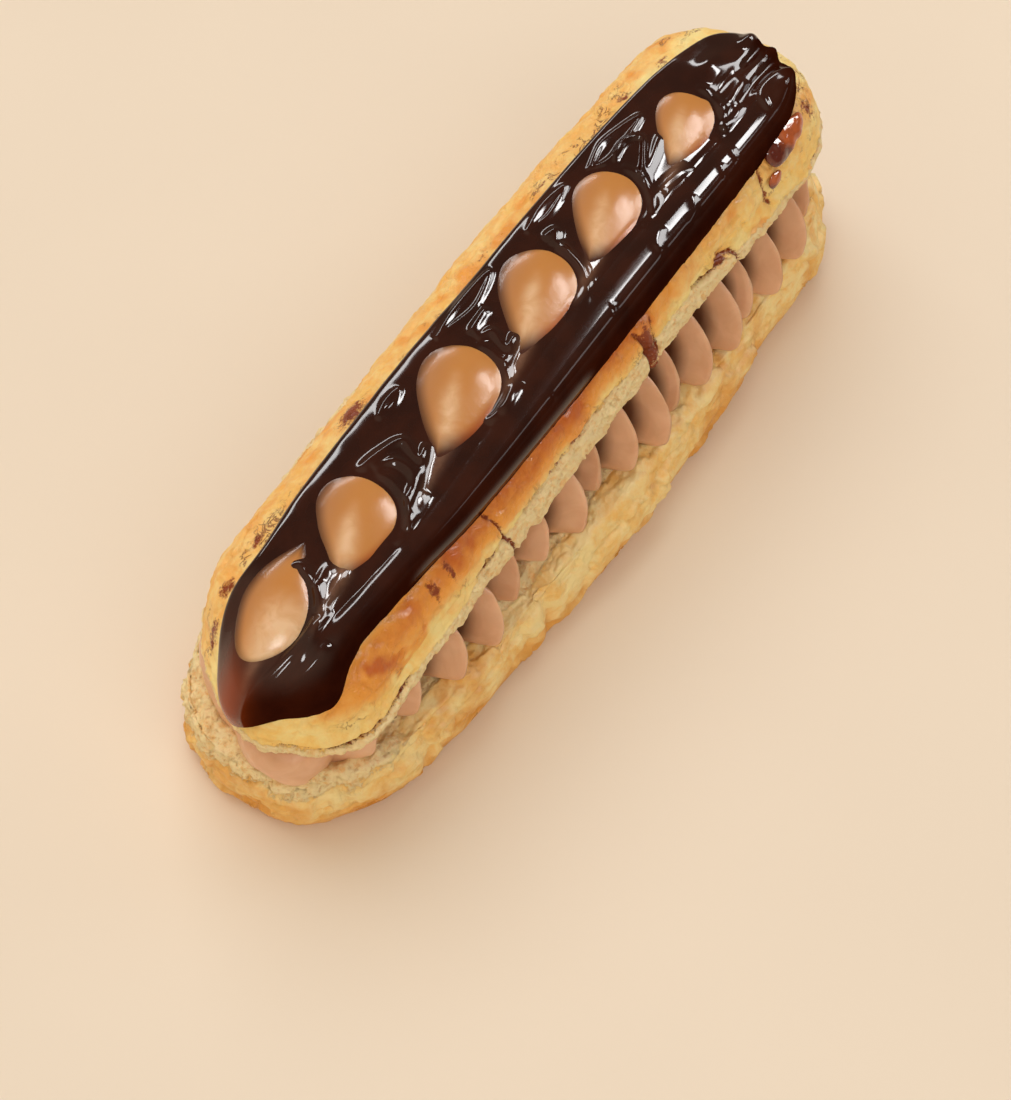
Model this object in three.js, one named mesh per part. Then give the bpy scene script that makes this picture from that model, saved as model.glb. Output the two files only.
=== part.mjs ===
// Chocolate eclair: a choux base and lid with a piped cream filling between them, a chocolate icing
// on the lid, six caramel drops laid in the icing and one glossy caramel chip beside it.
//
// Millimetres, +Z up, +X along the eclair. The origin is on the table, under the middle of the base.
// Most pieces are a profile carried round a long rounded track, bent onto the surface below it.

import * as THREE from "three";
import { mergeVertices } from "three/addons/utils/BufferGeometryUtils.js";

// Driving dimensions.

const GAP = 0.3; // clearance between two pieces that touch

const BASE = {
  halfLength: 74,
  halfWidth: 22,
  barrel: 0.17, // share of its width that the base would lose from its middle to its ends
  backward: 2.6, // the -X end lies this much further to the back than the middle
  endPower: 2.25, // 2 is a round end, more is a squarer one
  footInset: 1.5,
  bulgeHeight: 7,
  rimHeight: 14,
  rimInset: 2.2,
  rimWidth: 4.2,
  dishDepth: 2,
};

const LID = {
  centreX: -0.6,
  centreY: 1.6,
  bend: 2.4, // the +X end lies this much further to the front than the middle
  halfLength: 69.7,
  halfWidth: 17.4,
  endPower: 2.3,
  cutHeight: 26.8, // height of the cut face at the middle
  slope: 0.045, // the cream lifts the +X end
  hollow: 1.4,
  lipHeight: 4.4,
  lipFlare: 1.3, // the torn lip stands out past the crust above it
  domeRise: 11.2,
  domePower: 2.5,
};

const CREAM = {
  halfLength: 71.5,
  topHalfWidth: 14.6,
  footHalfWidth: 15.6,
  bulge: 2.6,
  lobeDepth: 2.2,
  lobePitch: 9.4, // the star nozzle leaves one lobe at each pitch
  lobeSlant: 0.55, // share of a pitch that a lobe leans from its foot to its top
};

const ICING = {
  centreX: -3,
  centreY: -0.8,
  bend: 1,
  halfLength: 65.4,
  halfWidth: 11.8,
  endPower: 2.1,
  bedThickness: 1.5, // under the drops
  rollThickness: 2.9, // the thick roll along the front
  rollWidth: 7,
};

// The drops from the +X end: the middle of each head, its half width, and its length with the tail.
const DROPS = [
  { x: 42.2, y: -0.6, halfWidth: 5, length: 15.5 },
  { x: 22.8, y: 0.8, halfWidth: 5.7, length: 18 },
  { x: 5, y: 1.2, halfWidth: 6, length: 19.5 },
  { x: -15.6, y: 1.4, halfWidth: 6.3, length: 20 },
  { x: -41.2, y: 1.2, halfWidth: 6.2, length: 18 },
  { x: -60, y: 2, halfWidth: 5.6, length: 13.5 },
];
const DROP = { height: 1.2, turn: 0.3 };

const CHIP = { x: 50.5, y: -14.9, length: 8.5, width: 4, thickness: 1.6 };

// Steps of the grids.

const TRACK = { straight: 20, arc: 10 };
const CREAM_STEPS = { along: 62, across: 8, side: 4 };
const DROP_STEPS = { around: 20, rings: 3 };

// Shared geometry.

const { clamp, lerp } = THREE.MathUtils;

// One closed surface through rings of points, where each ring is joined to the next. A first or
// last ring that has shrunk to a point or a line closes that end.
function closedSurface(rings) {
  const around = rings[0].length;
  const index = [];
  for (let j = 0; j + 1 < rings.length; j++)
    for (let i = 0; i < around; i++) {
      const a = j * around + i;
      const b = j * around + ((i + 1) % around);
      index.push(a, b, b + around, a, b + around, a + around);
    }
  const geometry = new THREE.BufferGeometry().setFromPoints(rings.flat()).setIndex(index);
  const merged = mergeVertices(geometry, 1e-3);
  const all = merged.index.array;
  const kept = [];
  for (let i = 0; i < all.length; i += 3) {
    const [a, b, c] = all.subarray(i, i + 3);
    if (a !== b && b !== c && c !== a) kept.push(a, b, c);
  }
  return merged.setIndex(kept);
}

// Stations round a long rounded track: a point of the spine, and the direction out from it.
function track(halfLength, halfWidth, endPower) {
  const spine = halfLength - halfWidth;
  const stations = [];
  const arc = (side) => {
    for (let i = 0; i < TRACK.arc; i++) {
      const angle = (i / TRACK.arc - 0.5) * Math.PI;
      const cos = Math.cos(angle);
      const sin = Math.sin(angle);
      const reach = (cos ** endPower + Math.abs(sin) ** endPower) ** (-1 / endPower);
      stations.push({ x: side * spine, nx: side * cos * reach, ny: side * sin * reach });
    }
  };
  const straight = (side) => {
    for (let i = 0; i < TRACK.straight; i++)
      stations.push({ x: side * spine * (1 - (2 * i) / TRACK.straight), nx: 0, ny: side });
  };
  arc(1);
  straight(1);
  arc(-1);
  straight(-1);
  return stations;
}

// A profile of [offset from the spine, height] carried round a track. place(x, y, height) sets
// each point down.
function carried(piece, profile, place) {
  const stations = track(piece.halfLength, piece.halfWidth, piece.endPower);
  return closedSurface(
    profile.map(([offset, height]) =>
      stations.map((s) => place(s.x + offset * s.nx, offset * s.ny, height)),
    ),
  );
}

// How far (x, y) lies from a piece's spine, as a share of its half width.
function share(piece, x, y) {
  const beyond = Math.max(Math.abs(x) - (piece.halfLength - piece.halfWidth), 0);
  const p = piece.endPower;
  return (beyond ** p + Math.abs(y) ** p) ** (1 / p) / piece.halfWidth;
}

// Choux base: a flat foot, a bulging side and a torn rim round a shallow dish.

const baseTaper = (x) => 1 - BASE.barrel * (x / BASE.halfLength) ** 2;
const baseMiddle = (x) => BASE.backward * Math.max(-x / BASE.halfLength, 0) ** 2;

// The base's top face at (x, y): the rim's height, less the dish inside it.
function baseTop(x, y) {
  const inner = 1 - (BASE.rimInset + BASE.rimWidth) / BASE.halfWidth;
  const q = share(BASE, x, (y - baseMiddle(x)) / baseTaper(x)) / inner;
  return BASE.rimHeight - BASE.dishDepth * Math.max(1 - q * q, 0);
}

function base() {
  const { halfWidth: w, bulgeHeight: b, rimHeight: r } = BASE;
  const rim = w - BASE.rimInset;
  const inner = rim - BASE.rimWidth;
  const side = [0.25, 0.5, 0.75].map((t) => [
    w - BASE.rimInset * t * t,
    b + (r - 1 - b) * t,
  ]);
  const profile = [
    [0, 0],
    [w - BASE.footInset - 1.6, 0],
    [w - BASE.footInset, 0.7],
    [w - 0.4, b * 0.5],
    [w, b],
    ...side,
    [rim, r - 0.6],
    [rim - 0.8, r],
    [inner, r],
    [inner * 0.6, null],
    [0, null],
  ];
  return carried(BASE, profile, (x, y, height) => {
    const wide = baseMiddle(x) + y * baseTaper(x);
    return new THREE.Vector3(x, wide, height ?? baseTop(x, wide));
  });
}

// Choux lid: a cut face with a torn lip, and a crust dome above it.

const lidPlane = (x) => LID.cutHeight + LID.slope * x;
const middleY = (piece, x) => piece.centreY - piece.bend * Math.max(x / piece.halfLength, 0) ** 2;

// The lid's cut face at (x, y): a plane, hollowed a little where the cream presses.
function lidCut(x, y) {
  const q = share(LID, x - LID.centreX, y - middleY(LID, x)) / 0.85;
  return lidPlane(x) + LID.hollow * Math.max(1 - q * q, 0);
}

// The lid's crust at (x, y), for points inside the dome's edge.
function lidCrust(x, y) {
  const crustWidth = LID.halfWidth - LID.lipFlare;
  const q = (share(LID, x - LID.centreX, y - middleY(LID, x)) * LID.halfWidth) / crustWidth;
  const rise = Math.sqrt(Math.max(1 - q ** LID.domePower, 0));
  return lidPlane(x) + LID.lipHeight + LID.domeRise * rise;
}

function lid() {
  const crustWidth = LID.halfWidth - LID.lipFlare;
  const dome = [0.995, 0.97, 0.92, 0.84, 0.72, 0.56, 0.36, 0].map((q) => [q * crustWidth, null]);
  const profile = [
    [0, "cut"],
    [LID.halfWidth * 0.5, "cut"],
    [LID.halfWidth * 0.85, "cut"],
    [LID.halfWidth - 0.5, 0],
    [LID.halfWidth, 0.8],
    [crustWidth + 0.5, LID.lipHeight - 0.4],
    [crustWidth, LID.lipHeight + 0.4],
    ...dome,
  ];
  return carried(LID, profile, (x, y, height) => {
    const px = x + LID.centreX;
    const py = y + middleY(LID, px);
    if (height === "cut") return new THREE.Vector3(px, py, lidCut(px, py));
    if (height === null) return new THREE.Vector3(px, py, lidCrust(px, py));
    return new THREE.Vector3(px, py, lidPlane(px) + height);
  });
}

// The crust at (x, y), lifted along its own outward normal.
function onCrust(x, y, lift) {
  const step = 0.2;
  const z = lidCrust(x, y);
  const slopeX = (lidCrust(x + step, y) - lidCrust(x - step, y)) / (2 * step);
  const slopeY = (lidCrust(x, y + step) - lidCrust(x, y - step)) / (2 * step);
  const normal = new THREE.Vector3(-slopeX, -slopeY, 1).normalize();
  return new THREE.Vector3(x, y, z).addScaledVector(normal, lift);
}

// Cream filling: a piped rope whose sides stand out in slanting lobes.

// Half width of the rope at x and at a level from 0, its foot, to 1, its top.
function creamReach(x, level) {
  const taper = (1 - Math.abs(x / CREAM.halfLength) ** 3.4) ** 0.5;
  const straight = lerp(CREAM.footHalfWidth, CREAM.topHalfWidth, level);
  const round = Math.sin(Math.PI * clamp(level * 0.85 + 0.15, 0, 1));
  const turn = x / CREAM.lobePitch - CREAM.lobeSlant * level;
  const lobe = Math.sqrt(Math.abs(Math.sin(Math.PI * turn)));
  return taper * (straight + round * (CREAM.bulge + CREAM.lobeDepth * (lobe - 0.5)));
}

function creamSection(x) {
  const { across, side } = CREAM_STEPS;
  const foot = (y) => baseTop(x, y) + GAP;
  const top = (y) => lidCut(x, y) - GAP;
  const loop = [];
  for (let i = 0; i < across; i++) {
    const y = creamReach(x, 0) * ((2 * i) / across - 1);
    loop.push(new THREE.Vector3(x, y, foot(y)));
  }
  for (let i = 0; i < side; i++) {
    const y = creamReach(x, i / side);
    loop.push(new THREE.Vector3(x, y, lerp(foot(y), top(y), i / side)));
  }
  for (let i = 0; i < across; i++) {
    const y = creamReach(x, 1) * (1 - (2 * i) / across);
    loop.push(new THREE.Vector3(x, y, top(y)));
  }
  for (let i = side; i > 0; i--) {
    const y = -creamReach(x, i / side);
    loop.push(new THREE.Vector3(x, y, lerp(foot(y), top(y), i / side)));
  }
  return loop;
}

function cream() {
  const pole = (side) => {
    const x = side * CREAM.halfLength;
    const middle = (BASE.rimHeight + lidPlane(x)) / 2;
    return creamSection(x * 0.99).map(() => new THREE.Vector3(x, 0, middle));
  };
  const rings = [pole(-1)];
  for (let i = 1; i < CREAM_STEPS.along; i++) {
    const t = (2 * i) / CREAM_STEPS.along - 1;
    const eased = lerp(t, Math.sin((t * Math.PI) / 2), 0.35);
    rings.push(creamSection(CREAM.halfLength * eased));
  }
  rings.push(pole(1));
  return closedSurface(rings);
}

// Chocolate icing: a bed on the crust, with a thick roll along its front edge.

// Thickness of the icing at (x, y): the bed, thicker in the roll along the front.
function icingThickness(x, y) {
  const front = middleY(ICING, x) - ICING.halfWidth;
  const t = clamp((y - front) / ICING.rollWidth, 0, 1);
  const roll = Math.sin(Math.PI * t) ** 0.6;
  return ICING.bedThickness + (ICING.rollThickness - ICING.bedThickness) * roll;
}

function icing() {
  const edge = [
    [1, 0.45],
    [0.985, 0.75],
    [0.94, 0.93],
    [0.87, 1],
    [0.72, 1],
    [0.55, 1],
    [0.35, 1],
    [0, 1],
  ].map(([offset, fill]) => [ICING.halfWidth * offset, fill]);
  const profile = [
    [0, 0],
    [ICING.halfWidth * 0.35, 0],
    [ICING.halfWidth * 0.65, 0],
    [ICING.halfWidth * 0.82, 0],
    [ICING.halfWidth * 0.94, 0],
    ...edge,
  ];
  return carried(ICING, profile, (x, y, fill) => {
    const px = x + ICING.centreX;
    const py = y + middleY(ICING, px);
    return onCrust(px, py, GAP + fill * icingThickness(px, py));
  });
}

// Caramel drops: teardrops laid on the icing's bed, round at the +X end and drawn out to a tail.

function drop({ x, y, halfWidth, length }) {
  const middle = new THREE.Vector2(x, y);
  const { around, rings } = DROP_STEPS;
  const outline = [];
  for (let i = 0; i < around; i++) {
    const t = ((i + 0.5) / around) * 2 * Math.PI - Math.PI;
    const along = (Math.cos(t) + 1) * 0.5 * length - (length - halfWidth);
    const half = Math.sin(t) * Math.abs(Math.cos(t / 2)) * (halfWidth / 0.77);
    outline.push(new THREE.Vector2(along, half).rotateAround(new THREE.Vector2(), DROP.turn));
  }
  const ring = (reach, fill) =>
    outline.map((p) => {
      const at = middle.clone().addScaledVector(p, reach);
      const bed = GAP + icingThickness(at.x, at.y) + GAP;
      return onCrust(at.x, at.y, bed + fill * DROP.height);
    });
  const made = [];
  for (let j = 0; j < rings; j++) made.push(ring(j / rings, 0));
  made.push(ring(0.97, 0.05), ring(1, 0.3));
  for (let j = rings - 1; j >= 0; j--) made.push(ring(j / rings, Math.sqrt(1 - (j / rings) ** 2)));
  return closedSurface(made);
}

// Caramel chip: a flat glossy lens stuck to the shoulder of the crust, beside the icing.

function chip() {
  const geometry = new THREE.SphereGeometry(0.5, 16, 10);
  geometry.deleteAttribute("normal");
  geometry.deleteAttribute("uv");
  geometry.scale(CHIP.length, CHIP.width, CHIP.thickness);
  const foot = onCrust(CHIP.x, CHIP.y, GAP + CHIP.thickness / 2);
  const normal = foot.clone().sub(onCrust(CHIP.x, CHIP.y, 0)).normalize();
  const turn = new THREE.Quaternion().setFromUnitVectors(new THREE.Vector3(0, 0, 1), normal);
  geometry.applyQuaternion(turn).translate(foot.x, foot.y, foot.z);
  return geometry;
}

// The model.

const eclair = new THREE.Group();

function add(name, geometry, color, roughness) {
  const material = new THREE.MeshStandardMaterial({ color, roughness, metalness: 0 });
  const mesh = new THREE.Mesh(geometry, material);
  mesh.name = name;
  eclair.add(mesh);
}

add("base", base(), 0xdcb678, 0.85);
add("cream", cream(), 0xa9765a, 0.55);
add("lid", lid(), 0xdf9f56, 0.6);
add("icing", icing(), 0x3b1d16, 0.15);
DROPS.forEach((size, i) => add(`caramel_drop_${i + 1}`, drop(size), 0xd39860, 0.25));
add("caramel_chip", chip(), 0x7a2f18, 0.15);

export default eclair;
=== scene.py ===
"""Chocolate eclair: choux base and lid, piped cream, chocolate icing, caramel drops.

Every shape is worked out in millimetres, with +Z up and +X along the eclair, and turned into
metres when it becomes a mesh. Most shapes are a profile carried round a long rounded track.
"""

from __future__ import annotations

import logging
import math
from dataclasses import dataclass, field
from enum import Enum

import bpy
import numpy as np
from mathutils import Matrix, Vector

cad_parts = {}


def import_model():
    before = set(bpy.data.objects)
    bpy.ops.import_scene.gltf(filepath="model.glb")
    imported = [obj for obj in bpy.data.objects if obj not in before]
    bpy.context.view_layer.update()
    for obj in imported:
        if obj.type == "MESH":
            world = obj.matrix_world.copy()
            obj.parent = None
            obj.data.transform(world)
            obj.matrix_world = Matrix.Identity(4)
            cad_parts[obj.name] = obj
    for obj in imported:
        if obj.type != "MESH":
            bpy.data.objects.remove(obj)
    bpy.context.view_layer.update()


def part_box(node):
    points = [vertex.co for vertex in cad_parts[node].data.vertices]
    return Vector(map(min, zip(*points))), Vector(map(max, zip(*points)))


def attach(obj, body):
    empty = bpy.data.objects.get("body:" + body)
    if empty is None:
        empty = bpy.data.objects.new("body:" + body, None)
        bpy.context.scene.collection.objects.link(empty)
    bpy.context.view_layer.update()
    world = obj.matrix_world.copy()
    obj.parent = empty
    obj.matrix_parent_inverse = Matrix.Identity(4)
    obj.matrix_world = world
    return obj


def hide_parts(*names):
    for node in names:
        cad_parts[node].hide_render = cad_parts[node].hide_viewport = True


log = logging.getLogger("eclair")

MM = 0.001  # one millimetre in metres
GAP = 0.3  # clearance between two CAD pieces that touch

Array = np.ndarray
Point = tuple[float, float]
Range = tuple[float, float]
Colour = tuple[int, int, int]


class Slot(Enum):
    """Material slots of the record."""

    BASE = "choux_base"
    CREAM = "cream"
    LID = "choux_lid"
    ICING = "icing"
    CARAMEL = "caramel"
    CHIP = "caramel_chip"


class Reach(Enum):
    """What a lamp's light is seen in."""

    SHADE = "diffuse light only"
    SHINE = "reflections only"


class Zone(Enum):
    """Parts of the lid's shell."""

    CUT = 0
    LIP = 1
    DOME = 2


class Side(Enum):
    """Which long side of the eclair a thing lies on, as the sign of y."""

    FRONT = -1
    BACK = 1


# ---------------------------------------------------------------------------------------------
# Curves and noise


def eased(value: Array, low: float, high: float) -> Array:
    """Smooth step: 0 up to low, 1 from high, and 3t^2 - 2t^3 between them."""
    t = np.clip((value - low) / (high - low), 0.0, 1.0)
    return t * t * (3.0 - 2.0 * t)


def bell(value: Array, width: float | Array) -> Array:
    """Bell curve: 1 at nought and 1/e at the width."""
    return np.exp(-((value / width) ** 2))


def arch(value: Array) -> Array:
    """1 less the square of a value, and never below nought."""
    return np.maximum(1 - value**2, 0)


def through(x: Array, knots: tuple[float, ...], values: tuple[float, ...]) -> Array:
    """Smooth curve through knots.

    Cubic Hermite pieces, whose slope at a knot is the mean of the chords on both sides of it.

    Args:
        x: Where the curve is wanted.
        knots: Rising places of the knots.
        values: The curve's value at each knot.

    Returns:
        The curve's values, held level beyond the first and last knot.
    """
    at, val = np.asarray(knots, float), np.asarray(values, float)
    chords = np.diff(val) / np.diff(at)
    slopes = np.concatenate([chords[:1], (chords[1:] + chords[:-1]) / 2, chords[-1:]])
    x = np.clip(x, at[0], at[-1])
    i = np.clip(np.searchsorted(at, x, side="right") - 1, 0, len(at) - 2)
    width = at[i + 1] - at[i]
    t = (x - at[i]) / width
    rest = 1.0 - t
    return (
        (1 + 2 * t) * rest**2 * val[i]
        + t * rest**2 * width * slopes[i]
        + t**2 * (3 - 2 * t) * val[i + 1]
        - t**2 * rest * width * slopes[i + 1]
    )


def curve(x: Array, points: tuple[Point, ...]) -> Array:
    """Smooth curve through (place, value) points, whose places rise."""
    places, values = zip(*points)
    return through(x, places, values)


def smooth_path(points: tuple[Point, ...], count: int) -> Array:
    """Points at even steps on a smooth plane curve through a few points.

    Args:
        points: The (x, y) points that the curve passes.
        count: How many points to return.

    Returns:
        An array of count rows of x and y.
    """
    p = np.asarray(points, float)
    run = np.concatenate([[0.0], np.cumsum(np.hypot(*np.diff(p, axis=0).T))])
    t = np.linspace(0.0, run[-1], count)
    return np.stack([through(t, tuple(run), tuple(p[:, k])) for k in (0, 1)], axis=1)


def near_path(x: Array, y: Array, path: Array) -> tuple[Array, Array, Array]:
    """Nearest point of a path to each point.

    Args:
        x: Points' x, a flat array.
        y: Points' y.
        path: Rows of x and y.

    Returns:
        Distance to the path, which is positive on its left and negative on its right; the same
        unsigned; and the nearest point's place along the path, 0 to 1.
    """
    a, d = path[:-1], np.diff(path, axis=0)
    px, py = x[:, None] - a[:, 0], y[:, None] - a[:, 1]
    t = np.clip((px * d[:, 0] + py * d[:, 1]) / np.maximum((d**2).sum(1), 1e-12), 0.0, 1.0)
    off = np.hypot(px - t * d[:, 0], py - t * d[:, 1])
    best = off.argmin(axis=1)
    rows = np.arange(len(x))
    side = np.sign(d[best, 0] * py[rows, best] - d[best, 1] * px[rows, best])
    near = off[rows, best]
    return side * near, near, (best + t[rows, best]) / len(a)


def scattered(cells: Array, seed: int) -> Array:
    """A number from 0 to 1 for each whole-number cell, from an integer hash of it.

    Args:
        cells: Whole numbers in rows of three.
        seed: Picks the random values.

    Returns:
        One number for each row.
    """
    c = cells.astype(np.int64)
    h = c[..., 0] * 73856093 ^ c[..., 1] * 19349663 ^ c[..., 2] * 83492791 ^ (seed * 40503 + 977)
    h = ((h ^ (h >> 13)) * 1274126177) & 0xFFFFFFFF
    h = ((h ^ (h >> 15)) * 2246822519) & 0xFFFFFFFF
    return (h ^ (h >> 16)) / 4294967295.0


def lumps(points: Array, size: float, seed: int) -> Array:
    """Value noise: random corner values of a lattice, blended by a smooth step on each axis.

    Args:
        points: Rows of x, y and z.
        size: The lattice's step.
        seed: Picks the random values.

    Returns:
        One value per point, from -1 to 1.
    """
    p = points / size
    low = np.floor(p)
    t = p - low
    t = t * t * t * (t * (t * 6 - 15) + 10)
    total = np.zeros(p.shape[:-1])
    for corner in np.ndindex(2, 2, 2):
        c = np.array(corner)
        weight = np.where(c, t, 1 - t).prod(axis=-1)
        total += weight * scattered(low + c, seed)
    return 2 * total - 1


def rough(points: Array, size: float, seed: int, octaves: int = 3, gain: float = 0.5) -> Array:
    """Fractal noise: value noise summed at halving sizes and shrinking strengths.

    Args:
        points: Rows of x, y and z.
        size: Size of the largest lumps.
        seed: Picks the random values.
        octaves: How many sizes are summed.
        gain: Strength of each size next to the one before.

    Returns:
        One value per point, about -1 to 1.
    """
    total, weight = np.zeros(points.shape[:-1]), 0.0
    for k in range(octaves):
        total += gain**k * lumps(points * 2.03**k + 11.7 * k, size, seed + k)
        weight += gain**k
    return total / weight


def veins(points: Array, size: float, seed: int, width: float) -> Array:
    """Thin lines where fractal noise passes nought: 1 on a line and 0 from the width on."""
    return np.maximum(0, width - np.abs(rough(points, size, seed))) / width


def pores(points: Array, size: float, seed: int) -> Array:
    """Cell noise: distance to the nearest of one random point per lattice cell.

    Args:
        points: Rows of x, y and z.
        size: The lattice's step, about the distance between pores.
        seed: Picks the random points.

    Returns:
        0 in the middle of a pore, about 1 half-way to the next.
    """
    p = points / size
    low = np.floor(p)
    best = np.full(p.shape[:-1], 9.0)
    for corner in np.ndindex(3, 3, 3):
        cell = low + np.array(corner) - 1
        spot = np.stack([scattered(cell, seed + k) for k in range(3)], axis=-1)
        best = np.minimum(best, ((cell + spot - p) ** 2).sum(axis=-1))
    return np.sqrt(best)


# ---------------------------------------------------------------------------------------------
# Meshes


@dataclass
class Skin:
    """A closed surface through rings of points, each ring joined to the next.

    The rings run so that a ring's direction crossed with the step to the next ring points out.
    A first or last ring shrunk to a point or a line closes that end.
    """

    rings: Array  # rings x around x 3, in millimetres
    marks: dict[str, Array] = field(default_factory=dict)  # a float for each point, by name

    def outward(self) -> Array:
        """Unit normals: the step round the ring crossed with the step to the next ring.

        Returns:
            One unit vector for each point, or nought where the surface shrinks to a line.
        """
        round_step = np.roll(self.rings, -1, axis=1) - np.roll(self.rings, 1, axis=1)
        next_step = np.gradient(self.rings, axis=0)
        normal = np.cross(round_step, next_step)
        length = np.linalg.norm(normal, axis=-1, keepdims=True)
        return np.where(length > 1e-9, normal / np.maximum(length, 1e-9), 0.0)

    def push(self, amount: Array, hold: int = 1) -> None:
        """Move each point along its normal, apart from the first and last few rings.

        Args:
            amount: How far, one value for each point.
            hold: How many rings at each end stay where they are.
        """
        moved = self.rings + self.outward() * amount[..., None]
        self.rings[hold:-hold] = moved[hold:-hold]

    def parts(self) -> tuple[Array, Array, Array, dict[str, Array]]:
        """Weld points that coincide, and drop the faces that this leaves empty.

        Returns:
            Points, four-sided faces, three-sided faces, and the marks of the kept points.
        """
        rings, around = self.rings.shape[:2]
        flat = self.rings.reshape(-1, 3)
        _, first, where = np.unique(
            np.round(flat * 1e3 + 0.137).astype(np.int64), axis=0, return_index=True, return_inverse=True
        )
        j, i = np.meshgrid(np.arange(rings - 1), np.arange(around), indexing="ij")
        a, b = j * around + i, j * around + (i + 1) % around
        quads = where.ravel()[np.stack([a, b, b + around, a + around], axis=-1).reshape(-1, 4)]
        same = quads == np.roll(quads, -1, axis=1)
        gone = same.sum(axis=1)
        crossed = (quads[:, 0] == quads[:, 2]) | (quads[:, 1] == quads[:, 3])
        threes = quads[(gone == 1) & ~crossed][~same[(gone == 1) & ~crossed]].reshape(-1, 3)
        fours = quads[(gone == 0) & ~crossed]
        return flat[first], fours, threes, {k: v.ravel()[first] for k, v in self.marks.items()}


def build(name: str, skins: list[Skin], material: bpy.types.Material) -> bpy.types.Object:
    """Make one piece from one or more closed surfaces.

    Args:
        name: The piece's name.
        skins: Its surfaces, in millimetres.
        material: Its finish.

    Returns:
        The new object, which rides on the body root.
    """
    points, faces, marks, start = [], [], [], 0
    for skin in skins:
        flat, fours, threes, own = skin.parts()
        points.append(flat)
        faces += (fours + start).tolist() + (threes + start).tolist()
        marks.append(own)
        start += len(flat)
    mesh = bpy.data.meshes.new(name)
    mesh.from_pydata((np.concatenate(points) * MM).tolist(), [], faces)
    for key in marks[0]:
        layer = mesh.attributes.new(key, "FLOAT", "POINT")
        layer.data.foreach_set("value", np.concatenate([m[key] for m in marks]).astype(np.float32))
    mesh.shade_smooth()
    mesh.materials.append(material)
    mesh.validate()
    mesh.update()
    piece = bpy.data.objects.new(name, mesh)
    bpy.context.collection.objects.link(piece)
    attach(piece, "root")
    triangles = sum(len(f) - 2 for f in faces)
    log.info("%s: %d points, %d triangles", name, len(mesh.vertices), triangles)
    return piece


@dataclass(frozen=True)
class Track:
    """A long rounded track: a straight spine with a superelliptic arc at each end."""

    half_length: float
    half_width: float
    end_power: float

    @property
    def spine(self) -> float:
        """Half length of the spine."""
        return self.half_length - self.half_width

    def stations(self, straight: int, arc: int) -> tuple[Array, Array, Array]:
        """Stations round the track, counter-clockwise from the +X end's front.

        Args:
            straight: Stations on each long side.
            arc: Stations on each end.

        Returns:
            The x of the spine at each station, and the x and y of its outward direction.
        """
        angle = (np.arange(arc) / arc - 0.5) * math.pi
        cos, sin = np.cos(angle), np.sin(angle)
        reach = (cos**self.end_power + np.abs(sin) ** self.end_power) ** (-1 / self.end_power)
        along = self.spine * (1 - 2 * np.arange(straight) / straight)
        end, one = np.full(arc, self.spine), np.ones(straight)
        x = np.concatenate([end, along, -end, -along])
        nx = np.concatenate([cos * reach, 0 * one, -cos * reach, 0 * one])
        ny = np.concatenate([sin * reach, one, -sin * reach, -one])
        return x, nx, ny

    def share(self, x: Array, y: Array) -> Array:
        """How far (x, y) lies from the spine, as a share of the half width.

        Args:
            x: Places along the track.
            y: Places across it.

        Returns:
            0 on the spine and 1 on the outline.
        """
        beyond = np.maximum(np.abs(x) - self.spine, 0.0)
        p = self.end_power
        return (beyond**p + np.abs(y) ** p) ** (1 / p) / self.half_width


# ---------------------------------------------------------------------------------------------
# Finishes


def linear(colour: Colour) -> tuple[float, float, float, float]:
    """A display colour of 0 to 255 as linear light with full alpha.

    Args:
        colour: Red, green and blue.

    Returns:
        Red, green, blue and alpha.
    """
    c = np.asarray(colour) / 255.0
    light = np.where(c <= 0.04045, c / 12.92, ((c + 0.055) / 1.055) ** 2.4)
    return (*[float(v) for v in light], 1.0)


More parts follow.
